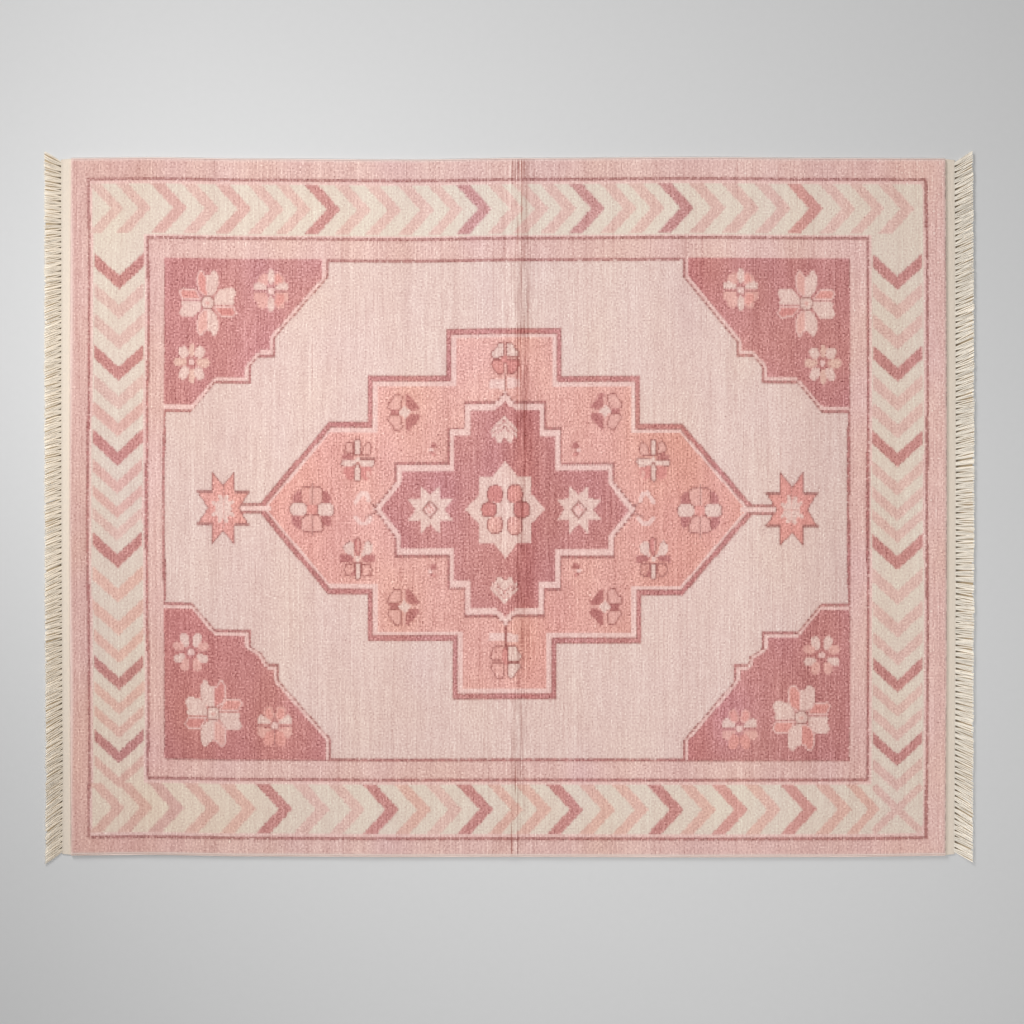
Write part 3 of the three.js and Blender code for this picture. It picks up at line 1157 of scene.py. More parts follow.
@dataclass(frozen=True)
class WearAndPaintedLight:
    """How dye lots, painted light, the painted shade of the storage fold and the thin rims change the yarns'
    colours on the rug.

    A rim has a pale colour, partly the bare wool there and partly painted light, how much of it shows at the
    edge, and how far in it reaches.
    """

    mingling: float = 0.13
    contrast: Colour = (1.3, 2.0, 2.0)
    hue_drift: Colour = (0.15, 0.2, -0.5)
    # Row streaks made stronger near the fold at u 36: painted light and shade of the fold's ridges.
    painted_fold_light: Triple = (1.6, 36, 42)
    # Painted shade of the storage fold: its broad hollow and its furrows darken the colour, green and blue the
    # most.
    hollow_shade_v: Triple = (-1150, 300, 1150)
    painted_hollow_shade: Triple = (0.03, 0.2, 0.12)
    hollow_shade_u: Point = (48, 26)
    furrow_shade: float = 0.38
    shade_tint: Colour = (0.8, 1.15, 1.2)
    painted_light: Triple = (0.035, 0.055, 0.03)
    # Painted light: the pile made lighter towards the right and the back.
    painted_light_slope: Point = (0.45, 0.55)
    painted_light_half: float = 1300
    band_u: Point = (30, 480)
    band_tint: Colour = (0.0, 0.03, 0.05)
    # Pale rims, partly the bare wool and partly painted light against the shade on the rounded rims: the front
    # one lightest, the back one darkest.
    rims: tuple[tuple[Colour, float, float], ...] = (
        ((238, 214, 204), 0.75, 7.0),
        ((238, 214, 204), 0.5, 4.5),
        ((222, 204, 197), 0.5, 5.5),
        ((250, 230, 220), 0.95, 5.5),
    )

    def daylight(self, u: Array, v: Array) -> Array:
        """Painted light: how much lighter the pile is made, as a factor for red, green and blue.

        It grows towards the right and the back, and less in the left half, with a cooler, wide band down the
        middle that is strongest at the back.
        """
        back = (1 + v / (FORM.pile_width / 2)) / 2
        along = u / (FORM.pile_length / 2)
        grow, slope, left = self.painted_light
        front, rise = self.painted_light_slope
        even = grow * back + slope * along * (front + rise * back)
        even -= left * np.clip(-along, 0, 1) * (1 - np.abs(v) / self.painted_light_half)
        band = bell(u, *self.band_u) * back
        return 1 + even[..., None] + band[..., None] * self.band_tint

    def mingled(self, base: Array) -> Array:
        """Colours mixed a little with the knots beside, where the cut ends lean over."""
        for axis in (0, 1):
            around = np.pad(np.moveaxis(base, axis, 0), ((1, 1), (0, 0), (0, 0)), mode="edge")
            mixed = (1 - 2 * self.mingling) * around[1:-1] + self.mingling * (around[:-2] + around[2:])
            base = np.moveaxis(mixed, 0, axis)
        return base

    def colours(self, chart: Chart, noise: PileNoise) -> Array:
        """Colour of every knot.

        It is its yarn's colour, mingled, times one plus its flecks, streaks (stronger near the fold, as painted
        light and shade) and bands, times its dye lots (some of them painted shade along the fold) and painted
        light, with painted shade in the fold's hollow and furrows, and paler at the rims, partly bare wool and
        partly painted light.

        Args:
            chart: Which yarn each knot has.
            noise: The unevenness.

        Returns:
            Linear red, green and blue for each knot.
        """
        base = self.mingled(np.array([linear(DYES[yarn].srgb) for yarn in Yarn])[chart.yarn])
        strengths = np.array([(dye.fleck, dye.streak, dye.abrash) for dye in DYES.values()])
        fleck, streak, bands = np.moveaxis(strengths[chart.yarn], 2, 0)
        # Stronger streaks near the fold: painted light and shade of its ridges.
        painted_fold_light_factor = 1 + self.painted_fold_light[0] * bell(chart.u, *self.painted_fold_light[1:])
        tone = 1 + fleck * noise.fleck + streak * noise.streak * painted_fold_light_factor + bands * noise.bands
        colour = base * tone[..., None] ** np.array(self.contrast)
        colour *= 1 + (bands * noise.hue)[..., None] * self.hue_drift
        # Dye lots, and painted shade along the fold.
        for yarn, (u, v), (reach_u, reach_v), factor in DYE_LOTS_AND_PAINTED_SHADE:
            share = bell(chart.u, u, reach_u) * bell(chart.v, v, reach_v) * (chart.yarn == yarn)
            colour = colour * (1 + share[..., None] * (factor - 1))
        # Painted shade in the fold's hollow and furrows.
        hollow = np.interp(chart.v, self.hollow_shade_v, self.painted_hollow_shade) * bell(chart.u, *self.hollow_shade_u)
        shade = self.furrow_shade * noise.furrow + hollow
        # Painted light over the pile, and the painted shade of the fold.
        colour = colour * self.daylight(chart.u, chart.v) * (1 - shade[..., None] * self.shade_tint)
        # Pale rims at the edges, partly bare wool and partly painted light.
        length, width = FORM.pile_length / 2, FORM.pile_width / 2
        edges = (length + chart.u, length - chart.u, width - chart.v, width + chart.v)
        for edge, (wool, most, reach) in zip(edges, self.rims):
            colour = colour + most * bell(edge, 0, reach)[..., None] * (linear(wool) - colour)
        return np.clip(colour, 0.01, 0.95)


def make_object(name: str, points: Array, faces: list[Array], smooth: bool = True) -> Piece:
    """Puts points and faces into a new mesh object at the origin.

    Args:
        name: The piece's name.
        points: Places in millimetres, one row each.
        faces: Arrays of point numbers, one row a face, all of one array with the same number of corners.
        smooth: Whether the first array's faces are shaded smooth; all others, walls and ends, are flat.

    Returns:
        The new object, linked into the scene.
    """
    mesh = bpy.data.meshes.new(name)
    mesh.vertices.add(len(points))
    mesh.vertices.foreach_set("co", (points * MM).astype(np.float32).ravel())
    corners = np.concatenate([f.ravel() for f in faces]).astype(np.int32)
    sizes = np.concatenate([np.full(len(f), f.shape[1]) for f in faces])
    mesh.loops.add(len(corners))
    mesh.loops.foreach_set("vertex_index", corners)
    mesh.polygons.add(len(sizes))
    mesh.polygons.foreach_set("loop_start", (np.cumsum(sizes) - sizes).astype(np.int32))
    mesh.update(calc_edges=True)
    if smooth:
        mesh.polygons.foreach_set("use_smooth", np.arange(len(sizes)) < len(faces[0]))
        mesh.set_sharp_from_angle(angle=math.radians(70))
    mesh.validate()
    made = bpy.data.objects.new(name, mesh)
    bpy.context.scene.collection.objects.link(made)
    return made


def colour_piece(piece: Piece, domain: Domain, colours: Array) -> None:
    """Stores a linear colour for each face or point of a piece as its yarn attribute."""
    layer = piece.data.attributes.new(YARN_ATTRIBUTE, "FLOAT_COLOR", domain.value)
    rgba = np.concatenate([colours, np.ones((len(colours), 1))], axis=1)
    layer.data.foreach_set("color", rgba.astype(np.float32).ravel())


def grid_faces(columns: int, rows: int) -> Array:
    """Four-cornered faces of a grid of points, one row each, anticlockwise seen from its front."""
    i, j = np.indices((columns - 1, rows - 1))
    first = (i * rows + j).ravel()
    return np.stack([first, first + rows, first + rows + 1, first + 1], axis=1)


def rim_of_grid(columns: int, rows: int, last: int) -> Array:
    """Numbers along a grid's rim, anticlockwise, without the last one of each side.

    Args:
        columns: Cells along the first direction.
        rows: Cells along the second direction.
        last: 1 for the numbers of the grid's points, 0 for those of its cells.

    Returns:
        For each step round the rim the number of the point it starts at, or of the cell beside it.
    """
    i, j = np.arange(columns), np.arange(rows)
    wide, high = columns - 1 + last, rows - 1 + last
    sides = ((i, 0), (wide, j), (wide - i, high), (0, high - j))
    return np.concatenate([a * (rows + last) + b for a, b in sides])


def closed_grid(name: str, places: Array, level: float) -> tuple[Piece, Array]:
    """Closes a grid of points with walls down or up to a level and a flat face there.

    Args:
        name: The piece's name.
        places: Columns by rows by three places in millimetres.
        level: The height of the flat face.

    Returns:
        The piece, and the rim's point numbers, in whose order the points of the flat face follow the grid's.
    """
    columns, rows = places.shape[:2]
    points = places.reshape(-1, 3)
    rim = rim_of_grid(columns - 1, rows - 1, 1)
    ends = points[rim].copy()
    ends[:, 2] = level
    far = len(points) + np.arange(len(rim))
    walls = np.stack([far, np.roll(far, -1), np.roll(rim, -1), rim], axis=1)
    faces = [grid_faces(columns, rows), walls, far[::-1][None, :]]
    if level > points[0, 2]:
        faces = [each[:, ::-1] for each in faces]
    return make_object(name, np.concatenate([points, ends]), faces), rim


def colour_cells(piece: Piece, colours: Array) -> None:
    """Colours a closed grid by its cells: each wall like the cell beside it, the flat face in their mean."""
    flat = colours.reshape(-1, 3)
    beside = rim_of_grid(*colours.shape[:2], 0)
    colour_piece(piece, Domain.FACE, np.concatenate([flat, flat[beside], flat.mean(axis=0)[None, :]]))


def tube_faces(count: int, stations: int, sides: int) -> tuple[Array, Array]:
    """Faces of tubes whose points run tube by tube, station by station and round each section.

    Args:
        count: Number of tubes.
        stations: Sections in a tube.
        sides: Points in a section.

    Returns:
        The skins' four-cornered faces, and the ends.
    """
    ring = np.arange(sides)
    tube = np.arange(count)[:, None, None] * stations * sides
    start = tube + np.arange(stations - 1)[None, :, None] * sides
    first, beside = (start + ring).ravel(), (start + (ring + 1) % sides).ravel()
    skin = np.stack([first, beside, beside + sides, first + sides], axis=1)
    return skin, np.concatenate([tube[:, 0] + ring[::-1], tube[:, 0] + (stations - 1) * sides + ring])


def section_turns(sides: int) -> Array:
    """Angles of the corners of a section with some sides, standing on one of them."""
    return 2 * math.pi * (np.arange(sides) + 0.5) / sides


class Nodes:
    """The nodes of a material in the making."""

    def __init__(self, name: str, shading: dict[str, float]) -> None:
        """Makes the material and sets its shader's fixed values."""
        self.material = bpy.data.materials.new(name)
        self.material.use_nodes = True
        self.tree = self.material.node_tree
        self.shader = self.tree.nodes["Principled BSDF"]
        self.connect(self.shader, shading)
        self.place = self.add("TexCoord", "Object", {})

    def connect(self, node: bpy.types.Node, inputs: dict[str | int, object]) -> None:
        """Links each of some inputs to a socket, or sets its fixed value on itself."""
        for name, value in inputs.items():
            if isinstance(value, Socket):
                self.tree.links.new(value, node.inputs[name])
            else:
                node.inputs[name].default_value = value

    def add(self, kind: str, out: str, inputs: dict[str | int, object], **settings: str) -> Socket:
        """Adds a node.

        Args:
            kind: Its kind, without the shared beginning of the kinds' names.
            out: The output that is wanted.
            inputs: Sockets and values for its inputs.
            **settings: Its own settings.

        Returns:
            The output.
        """
        node = self.tree.nodes.new(f"ShaderNode{kind}")
        for name, value in settings.items():
            setattr(node, name, value)
        self.connect(node, inputs)
        return node.outputs[out]

    def math(self, kind: str, first: Socket, second: Socket | float) -> Socket:
        """One arithmetic step on two values."""
        return self.add("Math", "Value", {0: first, 1: second}, operation=kind)

    def span(self, value: Socket, low: float, high: float) -> Socket:
        """Maps a value's 0..1 to low..high."""
        return self.add("MapRange", "Result", {"Value": value, "To Min": low, "To Max": high})


@dataclass(frozen=True)
class Grain:
    """One pattern in a finish: noise, or sine ridges across an axis, bent a little and crossed by another.

    It dims and brightens the colour between the two ends of its tint, and raises the surface by its rise.
    """

    scale: float
    tint: Point = (1.0, 1.0)
    rise: float = 0.0
    stretch: Triple = (1.0, 1.0, 1.0)
    detail: float = 2.0
    ridges: Ridges | None = None
    bend: float = 0.0
    cross: "Grain | None" = None

    def value(self, nodes: Nodes) -> Socket:
        """Its value from 0 to 1 at each place of the object."""
        place = nodes.add("Mapping", "Vector", {"Vector": nodes.place, "Scale": self.stretch})
        inputs = {"Vector": place, "Scale": self.scale, "Detail": self.detail}
        if not self.ridges:
            return nodes.add("TexNoise", "Fac", inputs)
        inputs["Distortion"] = self.bend
        value = nodes.add("TexWave", "Fac", inputs, bands_direction=self.ridges.value)
        if self.cross:
            value = nodes.math("MULTIPLY", value, nodes.span(self.cross.value(nodes), *self.cross.tint))
        return value


@dataclass(frozen=True)
class Finish:
    """A surface finish: its patterns, their depth in millimetres, its shading and its colour, if even."""

    name: str
    grains: tuple[Grain, ...]
    depth: float
    roughness: float = 0.95
    specular: float = 0.15
    sheen: float = 0.12
    srgb: Colour | None = None
    sheen_roughness: float = 0.5

    def build(self) -> Look:
        """Makes the material: the colour times every pattern's tint, over a bump, the sum of their rises."""
        shading = {
            "Roughness": self.roughness,
            "Specular IOR Level": self.specular,
            "Sheen Weight": self.sheen,
            "Sheen Roughness": self.sheen_roughness,
        }
        nodes = Nodes(self.name, shading)
        strength, height = None, None
        for grain in self.grains:
            value = grain.value(nodes)
            tint, rise = nodes.span(value, *grain.tint), nodes.math("MULTIPLY", value, grain.rise)
            strength = nodes.math("MULTIPLY", strength, tint) if strength else tint
            height = nodes.math("ADD", height, rise) if height else rise
        if self.srgb:
            yarn = tuple(linear(self.srgb))
        else:
            yarn = nodes.add("Attribute", "Color", {}, attribute_name=YARN_ATTRIBUTE)
        colour = nodes.add("VectorMath", "Vector", {0: yarn, "Scale": strength}, operation="SCALE")
        bump = nodes.add("Bump", "Normal", {"Height": height, "Distance": self.depth * MM, "Strength": 1.0})
        nodes.connect(nodes.shader, {"Base Color": colour, "Normal": bump})
        return nodes.material


CUT_PILE = Finish(
    "cut_wool_pile", (Grain(900, (0.94, 1.06), 0.5), Grain(230, (0.95, 1.05), 0.5, (1.6, 1.0, 1.0))), 0.5
)
WOVEN_BACK = Finish(
    "woven_back",
    (
        Grain(36, (0.88, 1.0), 0.7, detail=1.0, ridges=Ridges.ACROSS_X, bend=0.4),
        Grain(700, rise=0.3),
    ),
    0.6,
    0.9,
    sheen=0.05,
)
FLAT_WEAVE = Finish(
    "flat_woven_cotton",
    (
        Grain(
            90, (0.95, 1.02), 0.6, detail=1.0, ridges=Ridges.ACROSS_X, bend=1.5,
            cross=Grain(50, (0.6, 1.0), detail=1.0, ridges=Ridges.ACROSS_Y, bend=1.5),
        ),
        Grain(260, (0.9, 1.1), 0.4, (1.0, 0.35, 1.0), 3.0),
    ),
    0.35,
    0.92,
    sheen=0.1,
)
LOOSE_COTTON = Finish("loose_cotton", (Grain(900, (0.92, 1.08), 1.0, (0.25, 1.5, 1.5)),), 0.3, 0.9, 0.2, 0.1)
# One overcast wool in two shades as painted light: darker at the back, lighter at the front.
OVERCAST_BACK_PAINTED_DARKER, OVERCAST_FRONT_PAINTED_LIGHTER = (
    Finish(
        f"overcast_wool_painted_light_{name}",
        (Grain(800, (0.9, 1.1), 1.0, (0.6, 2.0, 2.0)), Grain(9, (0.94, 1.06), detail=1.0)),
        0.4,
        srgb=srgb,
    )
    for name, srgb in (("back", (228, 212, 205)), ("front", (250, 228, 218)))
)
STUDIO_FLOOR = Finish("studio_floor", (Grain(40, (0.985, 1.015), 1.0),), 0.05, 0.9, 0.1, 0.0, (212, 212, 212))


def dress(piece: Piece, look: Look, node: str) -> Piece:
    """Gives a piece its material, hides the imported part that it stands for, and lets it ride on the rug's
    body.
    """
    piece.data.materials.append(look)
    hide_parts(node)
    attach(piece, ROOT_BODY)
    LOG.info("%s: %d faces", piece.name, len(piece.data.polygons))
    return piece


@dataclass
class Pile:
    """The knotted pile: one face for each knot, in strips side by side along the warps."""

    noise: PileNoise
    strips: int = 4
    foot: float = 2.0
    rim_drop: float = 1.8
    rim_width: float = 9.0
    row_relief: float = 0.13
    knot_relief: float = 0.07
    furrow_relief: float = 0.8
    map_margin: float = 0.004
    map_gap: float = 0.01
    wall_map: Point = (0.012, 0.008)

    def tops(self) -> Array:
        """Places of the knots' corners, columns by rows by three.

        Each lies on the rug's top surface, raised or lowered by its row and its knot, sunk in the furrows,
        and falls over the rim along a quarter circle that is rim_width wide and rim_drop high.
        """
        u, v = np.meshgrid(*GRID.corners(), indexing="ij")
        rng = np.random.default_rng(SEED + 1)
        rows = np.pad(self.noise.streak, ((0, 1), (0, 1)), mode="edge")
        sunk = np.pad(self.noise.furrow, ((0, 1), (0, 1)), mode="edge")
        height = FORM.top(u, v) + self.row_relief * rows + self.knot_relief * rng.standard_normal(u.shape)
        edge = np.minimum(FORM.pile_length / 2 - np.abs(u), FORM.pile_width / 2 - np.abs(v))
        share = np.clip(1 - edge / self.rim_width, 0, 1)
        height -= self.furrow_relief * sunk + self.rim_drop * (1 - np.sqrt(1 - share**2))
        return np.stack([*FORM.lie(u, v), height], axis=2)

    def build(self, look: Look, colours: Array) -> list[Piece]:
        """Makes the strips: each a top grid, walls down to its foot and a flat underside.

        Args:
            look: The pile's material.
            colours: The knots' colours.

        Returns:
            The strips from left to right.
        """
        tops = self.tops()
        wide = GRID.along // self.strips
        made = []
        for k in range(self.strips):
            places = tops[k * wide : (k + 1) * wide + 1]
            piece, rim = closed_grid(f"pile_strip_{k + 1}", places, self.foot)
            colour_cells(piece, colours[k * wide : (k + 1) * wide])
            layer = piece.data.uv_layers.new(name=BAKE_MAP)
            spots = self.bake_places(wide, GRID.across, places.reshape(-1, 3)[rim])
            layer.uv.foreach_set("vector", spots.astype(np.float32).ravel())
            made.append(dress(piece, look, "pile_field"))
        return made

    def bake_places(self, columns: int, rows: int, feet: Array) -> Array:
        """Lays a strip out on its bake map: its top as two halves side by side, then the walls and underside.

        Args:
            columns: Knots along the warps.
            rows: Knots across the rug.
            feet: Places of the rim, below which the underside's corners lie.

        Returns:
            One map place for each face corner.
        """
        margin, half, count = self.map_margin, rows // 2, 2 * (columns + rows)
        square = np.array([(0, 0), (1, 0), (1, 1), (0, 1)])
        cell = np.array([GRID.pitch_u, GRID.pitch_v]) * (1 - 3 * margin) / (2 * columns * GRID.pitch_u)
        i, j = np.indices((columns, rows))
        right = j >= half
        first = np.stack([i + right * columns, j - right * half], axis=2) * cell
        first += margin + right[..., None] * np.array([margin, 0])
        base = margin + (rows - half) * cell[1] + self.map_gap
        in_row = (count + 1) // 2
        high, gap = self.wall_map
        wall = np.array([(1 - 2 * margin) / in_row, high])
        k = np.arange(count)
        starts = np.stack([margin + (k % in_row) * wall[0], base + (k // in_row) * (high + gap)], axis=1)
        base += 2 * (high + gap)
        low = feet.min(axis=0)
        shrink = (1 - margin - base) / (feet.max(axis=0) - low)[0]
        under = (feet[::-1] - low)[:, [1, 0]] * shrink + (margin, base)
        tops = first.reshape(-1, 1, 2) + square * cell
        return np.concatenate([tops.reshape(-1, 2), (starts[:, None] + square * wall).reshape(-1, 2), under])


@dataclass
class Foundation:
    """The woven back: a thin closed sheet whose underside shows the design in the backs of the knots."""

    columns: int = 231
    rows: int = 150
    thickness: float = 1.9
    fade: float = 0.92

    def build(self, look: Look, colours: Array) -> Piece:
        """Makes the sheet: a bottom grid on the floor, a rim wall and a plain top hidden under the pile.

        Args:
            look: The back's material.
            colours: The knots' colours.

        Returns:
            The sheet.
        """
        u = np.linspace(-FORM.pile_length / 2, FORM.pile_length / 2, self.columns + 1)
        v = np.linspace(-FORM.pile_width / 2, FORM.pile_width / 2, self.rows + 1)
        x, y = FORM.lie(*np.meshgrid(u, v, indexing="ij"))
        piece, _ = closed_grid("woven_foundation", np.stack([x, y, np.zeros_like(x)], axis=2), self.thickness)
        i = (np.arange(self.columns) + 0.5) * GRID.along / self.columns
        j = (np.arange(self.rows) + 0.5) * GRID.across / self.rows
        colour_cells(piece, colours[np.ix_(i.astype(int), j.astype(int))] * self.fade)
        return dress(piece, look, "pile_field")


@dataclass
class Selvedge:
    """The edge warps of one long edge with wool yarn wrapped round them."""

    name: str
    side: int
    width: float = 5.6
    height: float = 7.0
    sides: int = 8
    stations: int = 1605
    wrap: Triple = (1.0, 0.985, 0.86)
    slant: float = 1.5

    def build(self, look: Look) -> Piece:
        """Makes the selvedge: an oval section carried along the pile's edge, tight between the turns of yarn.

        Args:
            look: The yarn's material.

        Returns:
            The selvedge.
        """
        u = np.linspace(-FORM.pile_length / 2, FORM.pile_length / 2, self.stations)
        x, edge = FORM.lie(u, np.full_like(u, self.side * FORM.pile_width / 2))
        turn = section_turns(self.sides)
        slant = np.round(self.slant * np.cos(turn)).astype(int)
        swell = np.array(self.wrap)[(np.arange(self.stations)[:, None] + slant) % len(self.wrap)]
        y = edge[:, None] + self.side * (FORM.gap + self.width / 2) + self.width / 2 * swell * np.cos(turn)
        z = self.height / 2 * (1 + swell * np.sin(turn))
        points = np.stack([np.broadcast_to(x[:, None], y.shape), y, np.maximum(z, 0)], axis=2).reshape(-1, 3)
        piece = make_object(f"overcast_{self.name}", points, [*tube_faces(1, self.stations, self.sides)])
        return dress(piece, look, self.name)


@dataclass(frozen=True)
class End:
    """One short end: its side and the sizes, tones and leans that differ between the two ends.

    In order these are how far its locks reach past the band, how quickly they fan out, how far their tips rise,
    the tone of the band beside them, their own colour (painted lighter at the right end, as light), their leans
    and the band's widths. Leans and widths are pairs of a place across the rug and a value there: how far a
    lock's tip lies towards the back of its root, and how wide the band is.
    """

    name: str
    side: int
    reach: float
    fan: float
    tip_lift: float
    fray: float
    cotton: Colour
    leans: str
    widths: str

    def lean(self, y: Array) -> Array:
        """The lean at places across the rug."""
        return np.interp(y, *np.transpose(path(self.leans)))

    def width(self, y: Array) -> Array:
        """The band's width at places across the rug."""
        return np.interp(y, *np.transpose(path(self.widths)))


# Each end's cotton: the right one painted lighter than the left, as light.
ENDS = (
    End(
        "left", -1, 58, 3.4, 1.8, 0.84, (235, 221, 202),
        "-1200,-44 -800,-36 -460,-22 -300,-30 235,-15 560,-25 900,-7 1100,8 1200,24",
        "-1213,33 -900,29 -300,30 0,31 400,32 850,33.5 1213,37",
    ),
    End(
        "right", 1, 62.4, 1.9, 4.0, 1.0, (248, 238, 223),
        "-1200,-36 -850,-30 -700,-11 -350,-9 -50,2 300,15 500,29 760,27 1200,32",
        "-1213,33 1213,34",
    ),
)


@dataclass
class EndBand:
    """The flat-woven cotton band between the pile and the fringe of one end."""

    end: End
    height: float = 2.75
    half_length: float = 1213.0
    taper: float = 4.0
    across: int = 12
    along: int = 400
    edge_round: float = 2.4
    edge_drop: float = 1.1
    puff: float = 0.12
    puff_blur: float = 2
    cotton: Colour = (230, 216, 200)
    fray_start: float = 0.72
    seam_drop: float = 1.7
    seam_reach: float = 4.5

    def build(self, look: Look) -> Piece:
        """Makes the band: a grid across and along it, rounded down at its rims, with walls to the floor.

        Args:
            look: The band's material.

        Returns:
            The band.
        """
        share = np.linspace(0, 1, self.across + 1)
        place = np.linspace(-self.half_length, self.half_length, self.along + 1)
        s, y = np.meshgrid(share, place, indexing="ij")
        side, width = self.end.side, self.end.width(y)
        ends = np.full_like(y, FORM.pile_length / 2 * side)
        near_x, near_y = FORM.lie(ends, y * (1 + self.taper / self.half_length))
        far_x, far_y = FORM.lie(ends, y)
        x = near_x + side * FORM.gap + (far_x + side * width - near_x) * s
        puff = blurred(np.random.default_rng(SEED + 2 + side).standard_normal(y.shape), self.puff_blur, 1)
        edge = np.minimum(s, 1 - s) * width
        drop = 1 - np.sqrt(1 - np.clip(1 - edge / self.edge_round, 0, 1) ** 2)
        seam = self.seam_drop * bell(s * width, 0, self.seam_reach)
        top = self.height - self.edge_drop * drop + self.puff * puff - seam * (1 - drop)
        places = np.stack([x, near_y + (far_y - near_y) * s, top], axis=2)[::side]
        tone = np.interp(s, (self.fray_start, 1), (1, self.end.fray))[::side].ravel()
        piece, rim = closed_grid(f"flat_band_{self.end.name}", places, 0.0)
        tones = np.concatenate([tone, tone[rim]])[:, None]
        colour_piece(piece, Domain.POINT, linear(self.cotton) * tones)
        return dress(piece, look, f"end_fringe_{self.end.name}")


@dataclass
class Strands:
    """Many strands of one fringe: one entry each for the root, the ways the tip lies from it, and the size.

    Attributes:
        root: Place of the root across the rug.
        fan: How far the tip lies from the root as the lock fans out.
        lean: How far the tip lies from the root as the lock leans.
        length: How far the strand reaches past the band.
        lift: Heights at the root, along the middle and at the tip, one row each.
        radius: Radii at the root and at the tip, one row each.
        phase: Where in a turn the strand's slight sideways curl starts.
        flat: How many times wider than high the section is.
    """

    root: Array
    fan: Array
    lean: Array
    length: Array
    lift: Array
    radius: Array
    phase: Array
    flat: float = 1.25


